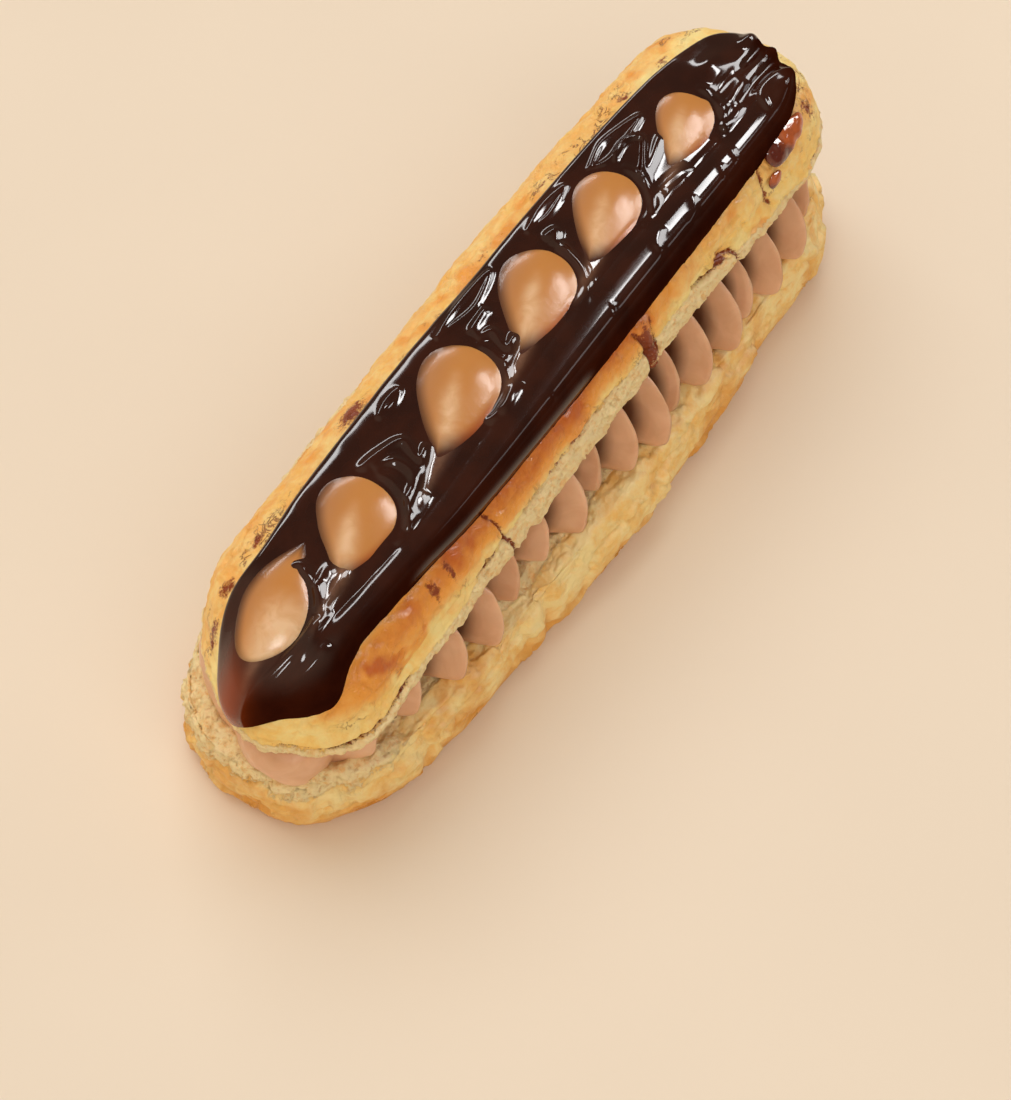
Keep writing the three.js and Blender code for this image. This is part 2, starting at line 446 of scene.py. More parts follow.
class Bench:
    """Builds one node material, whose patterns read Object coordinates and marks."""

    def __init__(self, name: str) -> None:
        """Start a material.

        Args:
            name: The material's name.
        """
        self.material = bpy.data.materials.new(name)
        self.material.use_nodes = True
        self.nodes = self.material.node_tree.nodes
        self.links = self.material.node_tree.links
        self.shader = self.nodes["Principled BSDF"]
        self.place = self.nodes.new("ShaderNodeTexCoord").outputs["Object"]

    def feed(self, socket: bpy.types.NodeSocket, value: object) -> None:
        """Put a value in a socket: another socket is linked, and a number or colour is set.

        Args:
            socket: The input.
            value: What goes into it.
        """
        if isinstance(value, bpy.types.NodeSocket):
            self.links.new(value, socket)
        else:
            socket.default_value = value

    def set(self, **values: object) -> None:
        """Set inputs of the shader by name, with _ for a space."""
        for key, value in values.items():
            self.feed(self.shader.inputs[key.replace("_", " ")], value)

    def noise(self, size: float, detail: float = 3.0, gain: float = 0.55, warp: float = 0.0) -> object:
        """Fractal noise of lumps of about size millimetres, 0 to 1.

        Args:
            size: Size of the largest lumps.
            detail: How many smaller sizes are added.
            gain: Strength of each size next to the one before.
            warp: How much the lumps are twisted.

        Returns:
            The node's output.
        """
        node = self.nodes.new("ShaderNodeTexNoise")
        self.links.new(self.place, node.inputs["Vector"])
        node.inputs["Scale"].default_value = 1 / (size * MM)
        node.inputs["Detail"].default_value = detail
        node.inputs["Roughness"].default_value = gain
        node.inputs["Distortion"].default_value = warp
        return node.outputs["Fac"]

    def mark(self, name: str) -> object:
        """A float that the mesh holds at each point.

        Args:
            name: The mark's name.

        Returns:
            The node's output.
        """
        node = self.nodes.new("ShaderNodeAttribute")
        node.attribute_name = name
        return node.outputs["Fac"]

    def math(self, operation: str, a: object, b: object = 0.0) -> object:
        """A Math node with one or two inputs.

        Args:
            operation: What the node works out.
            a: Its first input.
            b: Its second input.

        Returns:
            The node's output.
        """
        node = self.nodes.new("ShaderNodeMath")
        node.operation = operation
        self.feed(node.inputs[0], a)
        self.feed(node.inputs[1], b)
        return node.outputs[0]

    def step(self, value: object, low: float, high: float, start: float = 0.0, end: float = 1.0) -> object:
        """Smooth step of a value between two limits.

        Args:
            value: What is compared with the limits.
            low: The first limit.
            high: The second limit.
            start: The result at the first limit.
            end: The result at the second limit.

        Returns:
            The node's output.
        """
        node = self.nodes.new("ShaderNodeMapRange")
        node.interpolation_type = "SMOOTHSTEP"
        self.feed(node.inputs[0], value)
        for k, number in enumerate((low, high, start, end)):
            node.inputs[k + 1].default_value = number
        return node.outputs[0]

    def blend(self, factor: object, low: object, high: object) -> object:
        """A mix of two colours, each a display colour or a socket.

        Args:
            factor: 0 for the first colour and 1 for the second.
            low: The first colour.
            high: The second colour.

        Returns:
            The node's output.
        """
        node = self.nodes.new("ShaderNodeMix")
        node.data_type = "RGBA"
        self.feed(node.inputs[0], factor)
        for socket, colour in ((node.inputs[6], low), (node.inputs[7], high)):
            self.feed(socket, linear(colour) if isinstance(colour, tuple) else colour)
        return node.outputs[2]

    def bump(self, height: object, depth: float, under: object | None = None) -> object:
        """A bump of a height of 0 to 1 over depth millimetres, on top of another bump.

        Args:
            height: The pattern that is raised.
            depth: How far it is raised.
            under: The bump below, if there is one.

        Returns:
            The changed normal.
        """
        node = self.nodes.new("ShaderNodeBump")
        node.inputs["Distance"].default_value = depth * MM
        node.inputs["Strength"].default_value = 1.0
        self.feed(node.inputs["Height"], height)
        if under is not None:
            self.links.new(under, node.inputs["Normal"])
        return node.outputs["Normal"]


@dataclass(frozen=True)
class ChouxFinish:
    """Baked choux: golden crust, browned where it is washed, pale porous crumb where it is torn."""

    name: str
    crust: Colour
    crust_pale: Colour
    golden: Colour
    browned: Colour
    crumb: Colour = (255, 232, 178)
    # darker crumb colour: random tone, and painted shade in the hollows and large pits
    crumb_tone_and_pit_shade: Colour = (250, 204, 134)
    # colour of real stains, also used as painted shade in the lid's cracks and under its crust edge
    stain_and_crack_shade: Colour = (138, 58, 18)
    roughness: float = 0.58

    def material(self) -> bpy.types.Material:
        """Mix the crust's colours by noise, then browning, crumb, stains, and painted shade in pits and
        cracks, by the mesh's marks.

        Returns:
            The new material.
        """
        b = Bench(self.name)
        broad = b.step(b.noise(6.0, 5.0, 0.62, 0.5), 0.38, 0.62)
        fine = b.step(b.noise(1.3, 6.0, 0.72), 0.35, 0.7)
        crust = b.blend(broad, self.crust, self.crust_pale)
        crust = b.blend(b.math("MULTIPLY", fine, 0.45), crust, self.crust_pale)
        baked = b.math("ADD", b.mark("bake"), b.step(b.noise(3.4, 5.0, 0.65, 0.3), 0.3, 0.7, -0.1, 0.1))
        golden = b.blend(b.step(baked, 0.0, 0.55), crust, self.golden)
        crust = b.blend(b.step(baked, 0.45, 1.05), golden, self.browned)
        # Crumb darker in the hollows of its bump and in large pits: painted shade, with some random tone
        # from the grain.
        holes = b.step(b.noise(0.55, 5.0, 0.7, 0.4), 0.3, 0.46)
        grain = b.step(b.noise(1.6, 6.0, 0.78), 0.32, 0.52)
        torn = b.blend(b.math("MULTIPLY", holes, grain), self.crumb_tone_and_pit_shade, self.crumb)
        torn = b.blend(b.mark("pit_shade"), torn, self.crumb_tone_and_pit_shade)
        edge = b.math("ADD", b.mark("crumb"), b.step(b.noise(1.2, 5.0, 0.75), 0.3, 0.7, -0.3, 0.3))
        torn_share = b.step(edge, 0.4, 0.6)
        colour = b.blend(torn_share, crust, torn)
        # Real stains and flakes share a mark with painted shade in the lid's cracks and under its crust
        # edge.
        spots_and_crack_shade = b.math("ADD", b.mark("stain_and_crack_shade"), b.step(b.noise(0.8, 4.0, 0.7), 0.3, 0.7, -0.25, 0.25))
        ridge = b.math("ABSOLUTE", b.math("SUBTRACT", b.noise(2.6, 3.0, 0.6, 1.2), 0.5))
        lines = b.step(ridge, 0.006, 0.045, 0.75, 0.0)
        flakes = b.math("MULTIPLY", lines, b.step(b.noise(5.0, 3.0), 0.52, 0.6))
        flakes = b.math("MULTIPLY", flakes, b.mark("flake"))
        stained_and_shaded = b.math("MAXIMUM", b.step(spots_and_crack_shade, 0.35, 0.75), flakes)
        colour = b.blend(stained_and_shaded, colour, self.stain_and_crack_shade)
        gloss = b.math("MULTIPLY", b.step(baked, 0.1, 0.7), b.step(torn_share, 0.0, 1.0, 1.0, 0.0))
        gloss = b.math("MAXIMUM", b.math("MAXIMUM", gloss, stained_and_shaded), b.mark("wet"))
        b.set(Base_Color=colour, Roughness=b.step(gloss, 0.0, 1.0, self.roughness, 0.27))
        crisp = b.bump(b.noise(0.5, 4.0, 0.7), 0.05)
        wrinkled = b.bump(b.noise(2.2, 5.0, 0.62, 0.8), 0.45, crisp)
        torn_height = b.math("MULTIPLY", b.math("MULTIPLY", holes, b.noise(0.4, 4.0, 0.7)), torn_share)
        flaked = b.bump(flakes, 0.25, wrinkled)
        b.set(Normal=b.bump(torn_height, 0.2, flaked), Subsurface_Weight=0.08)
        b.set(Subsurface_Radius=(1.0, 0.5, 0.2), Subsurface_Scale=0.6 * MM, Specular_IOR_Level=0.34)
        return b.material


BASE_FINISH = ChouxFinish(
    name="choux_base",
    crust=(250, 200, 112),
    crust_pale=(255, 231, 166),
    golden=(234, 168, 76),
    browned=(208, 134, 48),
)
LID_FINISH = ChouxFinish(
    name="choux_lid",
    crust=(255, 210, 118),
    crust_pale=(255, 232, 158),
    golden=(244, 166, 70),
    browned=(202, 102, 30),
)


@dataclass(frozen=True)
class CreamFinish:
    """Smooth coffee-brown piped cream with a faint sheen."""

    name: str = "mocha_cream"
    colour: Colour = (234, 188, 152)
    deep: Colour = (222, 172, 134)
    # painted shade: the colour of the deep gaps between the fins
    gap_shade: Colour = (92, 52, 32)
    roughness: float = 0.42

    def material(self) -> bpy.types.Material:
        """A broad change of tone by noise, painted shade in the gaps between the fins, and very fine
        pitting.

        Returns:
            The new material.
        """
        b = Bench(self.name)
        shade = b.step(b.noise(5.0, 3.0, 0.55, 0.6), 0.3, 0.7)
        colour = b.blend(b.mark("gap_shade"), b.blend(shade, self.deep, self.colour), self.gap_shade)
        b.set(Base_Color=colour, Roughness=self.roughness)
        b.set(Normal=b.bump(b.noise(0.5, 3.0, 0.6), 0.02), Subsurface_Weight=0.2)
        b.set(Subsurface_Radius=(1.0, 0.45, 0.25), Subsurface_Scale=1.2 * MM)
        return b.material


@dataclass(frozen=True)
class IcingFinish:
    """Dark mirror-like chocolate icing, milk-pale where caramel is smeared thin over it."""

    name: str = "chocolate_icing"
    colour: Colour = (54, 20, 9)
    deep: Colour = (42, 14, 7)
    veil: Colour = (158, 116, 92)
    film: Colour = (150, 64, 26)  # where the icing is so thin that the crust shows through
    roughness: float = 0.09

    def material(self) -> bpy.types.Material:
        """Two close browns by noise, and the veil by the mesh's mark.

        Returns:
            The new material.
        """
        b = Bench(self.name)
        colour = b.blend(b.step(b.noise(7.0, 3.0), 0.35, 0.65), self.deep, self.colour)
        streaks = b.step(b.noise(1.6, 3.0, 0.6, 0.8), 0.2, 0.8, 0.55, 1.0)
        colour = b.blend(b.math("MULTIPLY", b.mark("veil"), streaks), colour, self.veil)
        colour = b.blend(b.mark("film"), colour, self.film)
        b.set(Base_Color=colour, Roughness=self.roughness)
        b.set(Specular_IOR_Level=b.step(b.mark("flank"), 0.0, 1.0, 0.4, 0.0))
        return b.material


@dataclass(frozen=True)
class CaramelFinish:
    """Caramel cream: amber with a paler streak that on one drop is partly a painted highlight, redder and
    then brown where it thins out.
    """

    name: str = "caramel_cream"
    amber: Colour = (198, 134, 70)
    ember: Colour = (166, 78, 30)
    tan: Colour = (178, 126, 86)
    milky_and_highlight: Colour = (232, 194, 154)
    thin: Colour = (74, 38, 24)
    roughness: float = 0.2

    def material(self) -> bpy.types.Material:
        """Amber to tan, ember, milk-pale (partly a painted highlight) and thin, by the marks upper, ember,
        streak and thin.

        Returns:
            The new material.
        """
        b = Bench(self.name)
        wisps = b.step(b.noise(3.0, 3.0, 0.6, 0.7), 0.3, 0.7, 0.6, 1.1)
        colour = b.blend(b.mark("upper"), self.amber, self.tan)
        colour = b.blend(b.mark("ember"), colour, self.ember)
        colour = b.blend(b.math("MULTIPLY", b.mark("streak"), wisps), colour, self.milky_and_highlight)
        colour = b.blend(b.mark("thin"), colour, self.thin)
        b.set(Base_Color=colour, Roughness=self.roughness, Subsurface_Weight=0.25, Specular_IOR_Level=0.3)
        b.set(Subsurface_Radius=(1.0, 0.55, 0.3), Subsurface_Scale=1.4 * MM)
        b.set(Normal=b.bump(b.noise(1.8, 2.0), 0.03))
        return b.material


@dataclass(frozen=True)
class SyrupFinish:
    """Set red-brown syrup, very glossy and a little clear."""

    name: str = "set_syrup"
    colour: Colour = (186, 92, 44)
    deep: Colour = (92, 24, 8)
    roughness: float = 0.1

    def material(self) -> bpy.types.Material:
        """Two reds by noise and the mark light, under a clear coat.

        Returns:
            The new material.
        """
        b = Bench(self.name)
        shade = b.math("ADD", b.step(b.noise(2.0, 3.0, 0.6, 0.7), 0.3, 0.7, -0.25, 0.25), b.mark("light"))
        b.set(Base_Color=b.blend(shade, self.deep, self.colour), Roughness=self.roughness)
        b.set(Coat_Weight=0.6, Coat_Roughness=0.05, Normal=b.bump(b.noise(1.2, 2.0), 0.06))
        return b.material


@dataclass(frozen=True)
class FloorFinish:
    """Plain pale matt table top."""

    name: str = "table_top"
    colour: Colour = (240, 226, 208)
    roughness: float = 0.75

    def material(self) -> bpy.types.Material:
        """One colour with a trace of unevenness.

        Returns:
            The new material.
        """
        b = Bench(self.name)
        shade = b.step(b.noise(90.0, 2.0), 0.2, 0.8)
        low = tuple(c - 3 for c in self.colour)
        b.set(Base_Color=b.blend(shade, low, self.colour), Roughness=self.roughness)
        b.set(Specular_IOR_Level=0.2)
        return b.material


# ---------------------------------------------------------------------------------------------
# The eclair's pieces


def box_mm(node: str) -> tuple[Array, Array]:
    """A CAD node's lowest and highest corners in millimetres."""
    low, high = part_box(node)
    return np.array(low) / MM, np.array(high) / MM


@dataclass(frozen=True)
class Notch:
    """A soft bump, or a hollow if its depth is negative, centred on one place of a surface."""

    x: float
    y: float
    depth: float
    radius_x: float
    radius_y: float

    def at(self, x: Array, y: Array) -> Array:
        """Depth times a bell curve of the distance in x and y."""
        u = ((x - self.x) / self.radius_x) ** 2 + ((y - self.y) / self.radius_y) ** 2
        return self.depth * np.exp(-u)


def total(notches: tuple[Notch, ...], x: Array, y: Array) -> Array:
    """Sum of several notches at (x, y)."""
    return sum(n.at(x, y) for n in notches)


@dataclass(frozen=True)
class TornCrumb:
    """Torn surface of baked choux: a few large pits, many small ones, and a rough grain."""

    seeds: tuple[int, int, int, int]  # large pits, small pits, patches of large pits, grain
    large: float  # distance between large pits
    small: float  # distance between small pits
    patch: float  # size of the patches that have large pits
    radius: float  # of a large pit, as a share of the distance
    grain: float  # size of the grain
    height: float  # of the grain
    stretch: tuple[float, float, float]
    depth: float = 0.9  # of a large pit
    small_depth: float = 0.15

    def at(self, p: Array) -> tuple[Array, Array]:
        """Roughen points.

        Args:
            p: Rows of x, y and z.

        Returns:
            How far each point is lifted, and how much painted shade it gets in the large pits.
        """
        large_seed, small_seed, patch_seed, grain_seed = self.seeds
        few = eased(rough(p, self.patch, patch_seed, 2), -0.1, 0.3)
        large, small = pores(p, self.large, large_seed), pores(p, self.small, small_seed)
        pits = self.depth * few * (1 - eased(large, 0.1, self.radius))
        pits += self.small_depth * (1 - eased(small, 0.1, 0.45))
        grain = self.height * rough(p * self.stretch, self.grain, grain_seed, 4, 0.65)
        # the second value is painted shade in the large pits
        return grain - pits, self.depth * few * (1 - eased(large, 0.1, self.radius + 0.02))


@dataclass
class ChouxBase:
    """Lower half of the choux: a flat foot, a bulging side and a torn rim round a shallow dish."""

    half_length: float
    half_width: float
    rim_height: float
    barrel: float = 0.17
    backward: float = 2.6
    end_power: float = 2.25
    foot_inset: float = 1.5
    foot_round: float = 0.8  # height of the foot's rounded edge
    rim_round: float = 1.2  # and of the rim's
    bulge_height: float = 7.0
    rim_inset: float = 2.2
    rim_width: float = 4.2
    dish_depth: float = 2.0
    end_rise: float = 2.4  # the torn rim stands higher at the -X end
    end_spread: float = 1.2  # and further out
    raised_x: Range = (56.0, 70.0)  # which begins over these distances from the middle,
    raised_z: Range = (6.0, 13.0)  # these heights,
    raised_offset: Range = (14.6, 17.0)  # and these offsets from the spine
    footing: Range = (0.3, 2.5)  # the smooth foot turns rough over these heights
    straight: int = 350
    arc: int = 150
    crumb: TornCrumb = TornCrumb((31, 37, 39, 47), 2.1, 0.95, 4.0, 0.4, 2.4, 1.0, (0.7, 1, 1.2))
    dents: tuple[Notch, ...] = (
        Notch(-23.5, -21, -1.5, 1.6, 8),
        Notch(-30, -21, -0.7, 6, 8),
        Notch(9, -22, 0.9, 14, 8),
        Notch(-44, -20, 0.5, 7, 8),
        Notch(52, -18, 0.5, 9, 8),
        Notch(-71, -9, 0.6, 5, 6),
        Notch(-10, 22, -0.8, 7, 8),
        Notch(26, 22, 0.7, 12, 8),
        Notch(74, 4, 0.5, 6, 7),
    )

    @classmethod
    def from_frame(cls) -> ChouxBase:
        """Take the length, width and height of the CAD node."""
        low, high = box_mm("base")
        return cls((high[0] - low[0]) / 2, (high[1] - low[1]) / 2, high[2])

    @property
    def track(self) -> Track:
        """The outline at the bulge."""
        return Track(self.half_length, self.half_width, self.end_power)

    def taper(self, x: Array) -> Array:
        """The width narrows by a parabola from the middle to the ends."""
        return 1 - self.barrel * (x / self.half_length) ** 2

    def middle(self, x: Array) -> Array:
        """The -X half bends back by a parabola."""
        return self.backward * np.maximum(-x / self.half_length, 0.0) ** 2

    def top(self, x: Array, y: Array) -> Array:
        """Height of the top face: the rim, less a parabolic dish inside it.

        Args:
            x: Places along the eclair.
            y: Places across it.

        Returns:
            The height at each place.
        """
        inner = 1 - (self.rim_inset + self.rim_width) / self.half_width
        q = self.track.share(x, (y - self.middle(x)) / self.taper(x)) / inner
        return self.rim_height - self.dish_depth * arch(q)

    def profile(self) -> tuple[Array, Array]:
        """Offset and height of each ring, from the foot's middle to the dish's.

        The side is a bulge that leans in towards the rim; heights of the dish are negative and
        stand for the top face's own height.

        Returns:
            The offsets from the spine, and the heights.
        """
        w, b, r = self.half_width, self.bulge_height, self.rim_height
        low, high = self.foot_round, r - self.rim_round
        rim = w - self.rim_inset
        inner = rim - self.rim_width
        t = np.linspace(0, 1, 24)
        lower = np.linspace(0, 1, 18)[:-1]
        turn = np.linspace(0, math.pi / 2, 7)[1:]
        foot = w - self.foot_inset - 1.4
        parts = [
            (np.linspace(0, foot, 6), np.zeros(6)),
            (foot + np.sin(turn), low * (1 - np.cos(turn))),
            (w - self.foot_inset * (1 - lower) ** 2, low + (b - low) * lower),
            (w - (self.rim_inset - 0.9) * t**2, b + (high - b) * t),
            (rim - 0.1 + np.cos(turn), high + self.rim_round * np.sin(turn)),
            (np.linspace(rim - 0.5, inner, 16), np.full(16, r)),
            (np.linspace(inner * 0.97, 0, 12), np.full(12, -1.0)),
        ]
        return tuple(np.concatenate([p[k] for p in parts]) for k in (0, 1))

    def torn_share(self, p: Array, inward: Array) -> Array:
        """Where the crust is torn off: on the dish, the rim, and high on the side at the -X end.

        Args:
            p: Points.
            inward: How far each lies in from the rim.

        Returns:
            0 on crust, 1 on crumb.
        """
        x, z = p[..., 0], p[..., 2]
        border = rough(p * (1, 1, 0.3), 8.0, 41, 3)
        along = 1 - 0.9 * eased(-x, 48, 66)
        below = self.rim_height - z
        on_top = eased(inward + 1.6 * border, 2.6 * along, 3.6 * along + 0.2) * (below < 2.2)
        on_side = 0.8 * eased(4.0 * border - below, -4.5, -2.0) * eased(-x, 50, 62)
        return np.maximum(on_side, on_top)

    def crust_lift(self, p: Array, crumb: Array) -> Array:
        """Soft swells, two sizes of wrinkle, and peeling flakes that are weaker on crumb.

        Args:
            p: Points.
            crumb: 0 on crust and 1 on crumb.

        Returns:
            The rise at each point.
        """
        soft = 0.75 * rough(p, 13.0, 5, 2) + 0.4 * rough(p, 4.5, 9, 3)
        wrinkle = -0.75 * veins(p * (0.5, 1, 1.6), 5.0, 17, 0.14)
        wrinkle -= 0.35 * veins(p * (0.6, 1, 1.3), 2.6, 19, 0.12)
        peel = 0.75 * eased(rough(p * (0.7, 1, 1), 7.0, 23, 3), 0.0, 0.06)
        return soft + wrinkle + peel * (1 - 0.35 * crumb) - 0.3 + 0.14 * rough(p, 1.2, 53, 2)

    def make(self, material: bpy.types.Material) -> bpy.types.Object:
        """Carry the profile round the track, then roughen crust, crumb and rim.

        Args:
            material: Its finish.

        Returns:
            The new piece.
        """
        offset, height = self.profile()
        sx, nx, ny = self.track.stations(self.straight, self.arc)
        x = sx + offset[:, None] * nx
        y = self.middle(x) + offset[:, None] * ny * self.taper(x)
        z = np.where(height[:, None] < 0, self.top(x, y), height[:, None])
        skin = Skin(np.stack([x, y, z], axis=-1))
        p = skin.rings.copy()
        rim = self.half_width - self.rim_inset
        crumb = self.torn_share(p, rim - offset[:, None] + 0 * x)
        crumb = np.clip(np.maximum(crumb, (height < 0)[:, None]), 0, 1)
        torn, pit_shade = self.crumb.at(p)
        lift = total(self.dents, x, y) + self.crust_lift(p, crumb) + crumb * torn
        outer = (offset > rim - self.rim_width)[:, None]
        skin.push(np.where(outer, lift, torn * 0.8) * eased(z, *self.footing), hold=6)
        raised = eased(-x, *self.raised_x) * eased(z, *self.raised_z)
        raised *= eased(offset, *self.raised_offset)[:, None]
        skin.rings[..., 2] += self.end_rise * raised
        skin.rings[..., 0] += self.end_spread * raised * nx
        skin.rings[..., 2] = np.maximum(skin.rings[..., 2], 0.0)
        flaky = eased(-y, 10, 14) * eased(rough(p, 9.0, 67, 1), -0.1, 0.2)
        skin.marks = {
            "bake": 0.42 * (1 - eased(z, 1.0, 9.0)) + 0.35 * eased(rough(p, 9.0, 61, 3), -0.1, 0.6),
            "crumb": crumb,
            # painted shade in the large pits of the crumb
            "pit_shade": pit_shade * crumb,
            "stain_and_crack_shade": np.zeros_like(x),
            "flake": 0.8 * crumb * flaky,
            "wet": np.zeros_like(x),
        }
        piece = build("base_choux", [skin], material)
        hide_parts("base")
        return piece


@dataclass
class ChouxLid:
    """Upper half of the choux: a cut face, a torn crumb lip and a crust dome over it."""

    centre_x: float
    half_length: float
    centre_y: float = 1.6
    bend: float = 2.4
    half_width: float = 17.4
    end_power: float = 2.3
    cut_height: float = 26.8
    slope: float = 0.045
    hollow: float = 1.4  # depth of the hollow in the cut face
    hollow_share: float = 0.85  # and its size next to the face
    lip_height: float = 4.4
    lip_flare: float = 1.3
    nose: float = 3.4  # the -X end bends this far to the front
    nose_x: Range = (50.0, 71.0)  # over these distances from the middle
    snout_x: Range = (50.0, 67.0)  # and is drawn out over these
    dome_rise: float = 11.2
    dome_power: float = 2.5
    straight: int = 400
    arc: int = 150
    crumb: TornCrumb = TornCrumb((83, 89, 91, 97), 1.9, 0.85, 3.6, 0.38, 1.9, 0.8, (0.7, 1, 1.3))
    end: Notch = Notch(-68.0, -2.0, 2.3, 60.0, 7.5)  # the -X end is drawn out here
    shoulder: Range = (9.0, 12.0)  # y over which the crust turns down to the sides
    blisters: tuple[Range, Range] = ((22.0, 30.0), (50.0, 56.0))  # x over which they begin and end
    lip_crumb: tuple[Point, ...] = (  # height of the pale crumb above the cut, along x
        (-72, 1.2), (-45, 2.4), (-30, 4.2), (20, 4.4), (34, 3.2), (50, 1.8), (72, 1.5),
    )
    front_bake: tuple[Point, ...] = (  # how brown the front shoulder is, along x
        (-72, 0.3), (-60, 0.6), (-45, 0.7), (-20, 0.85), (8, 0.85),
        (16, 0.5), (30, 0.4), (55, 0.3), (72, 0.1),
    )
    stains: tuple[Notch, ...] = (
        Notch(-58.9, 11.3, 0.9, 1.6, 1.2),
        Notch(-64.2, 10.6, 0.8, 1.8, 1.2),
        Notch(-51.1, 11.6, 0.8, 1.6, 1.0),
        Notch(-26.5, 13.0, 1.0, 3.2, 1.5),
        Notch(-42.4, -12.6, 0.8, 1.0, 1.4),
        Notch(-38.7, -12.4, 0.8, 0.7, 1.4),
        Notch(11.4, -14.6, 1.0, 1.0, 1.9),
        Notch(20.6, -17.4, 0.9, 2.6, 0.9),
        Notch(42.3, 10.3, 0.8, 1.6, 1.0),
        Notch(51.0, 8.8, 0.8, 1.5, 1.0),
        Notch(22.6, 11.6, 0.6, 2.6, 0.7),
        Notch(6.0, 12.2, 0.5, 3.0, 0.6),
        Notch(58.6, -13.2, 0.7, 2.2, 1.6),
    )
    scorch: tuple[Point, ...] = ((-58.0, -12.6), (-54.5, -13.9), (-50.5, -14.6), (-47.0, -14.4))
    cracks: tuple[tuple[Point, ...], ...] = (
        ((-28.9, -12.2), (-28.2, -13.2), (-27.6, -14.4), (-26.3, -15.8)),
        ((9.4, -13.2), (10.4, -14.6), (10.0, -16.2)),
        ((13.4, -13.6), (12.6, -15.0), (12.4, -16.4)),
        ((30.5, -15.2), (34.0, -15.6), (35.5, -16.8)),
        ((44.5, -13.4), (43.8, -14.8), (45.2, -16.0)),
    )

    @classmethod
    def from_frame(cls) -> ChouxLid:
        """Take the length and place of the CAD node."""
        low, high = box_mm("lid")
        return cls((high[0] + low[0]) / 2, (high[0] - low[0]) / 2)

    @property
    def track(self) -> Track:
        """The outline of the lip."""
        return Track(self.half_length, self.half_width, self.end_power)

    def plane(self, x: Array) -> Array:
        """Height of the cut: a plane that rises towards +X."""
        return self.cut_height + self.slope * x

    def middle(self, x: Array) -> Array:
        """The +X half bends to the front by a parabola, and the -X end by a smooth step."""
        bent = self.bend * np.maximum(x / self.half_length, 0.0) ** 2
        return self.centre_y - bent - self.nose * eased(-x, *self.nose_x)

    def share(self, x: Array, y: Array) -> Array:
        """Distance from the lid's spine as a share of its half width."""
        return self.track.share(x - self.centre_x, y - self.middle(x))

    def cut(self, x: Array, y: Array) -> Array:
        """Height of the cut face: the plane with a parabolic hollow in it."""
        q = self.share(x, y) / self.hollow_share
        return self.plane(x) + self.hollow * arch(q)

    def crust(self, x: Array, y: Array) -> Array:
        """Height of the dome: lip height plus rise times the root of one less q to a power.

        Args:
            x: Places along the eclair.
            y: Places across it.

        Returns:
            The height at each place.
        """
        q = self.share(x, y) * self.half_width / (self.half_width - self.lip_flare)
        rise = np.sqrt(np.maximum(1 - q**self.dome_power, 0.0))
        return self.plane(x) + self.lip_height + self.dome_rise * rise

    def snout(self, x: Array, y: Array) -> Array:
        """How far the -X end is drawn out, by a bell in y and a smooth step in x."""
        return self.end.at(x, y) * eased(-x, *self.snout_x)

    def slopes(self, x: Array, y: Array, step: float = 0.2) -> tuple[Array, Array]:
        """The dome's rise per millimetre along x and along y, from points a step away.

        Args:
            x: Places along the eclair.
            y: Places across it.
            step: How far away the compared points lie.

        Returns:
            The slope along x and the slope along y.
        """
        slope_x = (self.crust(x + step, y) - self.crust(x - step, y)) / (2 * step)
        slope_y = (self.crust(x, y + step) - self.crust(x, y - step)) / (2 * step)
        return slope_x, slope_y

    def on_crust(self, x: Array, y: Array, lift: Array) -> Array:
        """Points over the dome at (x, y), lifted along the dome's own normal.

        Args:
            x: Places along the eclair.
            y: Places across it.
            lift: Distance above the dome.

        Returns:
            Rows of x, y and z.
        """
        slope_x, slope_y = self.slopes(x, y)
        normal = np.stack([-slope_x, -slope_y, np.ones_like(x)], axis=-1)
        normal /= np.linalg.norm(normal, axis=-1, keepdims=True)
        on_dome = np.stack([x - self.snout(x, y), y, self.crust(x, y)], axis=-1)
        return on_dome + normal * np.asarray(lift)[..., None]

    def shell(self) -> tuple[Array, Array]:
        """Rings from the cut face's middle, up the lip and over the dome, and each ring's zone.

        Returns:
            The rings of points, and the number of each ring's zone.
        """
        w = self.half_width
        face = np.linspace(0, w - 0.6, 9)
        band = np.linspace(0, 1, 26)
        swell = 0.5 * np.sin(band * math.pi) ** 0.8
        side = np.sin(np.linspace(math.pi / 2, 0.55, 44))[1:]
        dome = np.concatenate([side, np.linspace(side[-1], 0, 12)[1:]])
        lip = w - 0.4 + swell - (self.lip_flare - 0.4) * band
        offset = np.concatenate([face, lip, dome * (w - self.lip_flare)])[:, None]
        zone = np.repeat([z.value for z in Zone], [len(face), len(lip), len(dome)])[:, None]
        rise = np.concatenate([0 * face, band * (self.lip_height + 0.1), 0 * dome])[:, None]
        sx, nx, ny = self.track.stations(self.straight, self.arc)
        x = sx + offset * nx + self.centre_x
        y = offset * ny + self.middle(x)
        heights = [self.cut(x, y), self.plane(x) + rise]
        z = np.select([zone == Zone.CUT.value, zone == Zone.LIP.value], heights, self.crust(x, y))
        return np.stack([x, y, z], axis=-1), zone

    def near(self, path: tuple[Point, ...], x: Array, y: Array) -> Array:
        """Distance from each point to a smooth path."""
        return near_path(x.ravel(), y.ravel(), smooth_path(path, 14))[1].reshape(x.shape)

    def crust_lift(self, p: Array, blister: Array) -> Array:
        """Soft swells, bumps, wrinkles and blisters of the crust.

        Args:
            p: Points.
            blister: How blistered the crust is, 0 to 1.

        Returns:
            The rise at each point.
        """
        bumps = 0.5 * rough(p, 11.0, 101, 2) + 0.4 * rough(p, 3.6, 103, 3) + 0.12 * rough(p, 1.1, 107, 2)
        bumps -= 0.35 * veins(p * (0.6, 1, 1), 4.2, 105, 0.1)
        return bumps + 0.3 * blister * rough(p, 1.5, 109, 2)

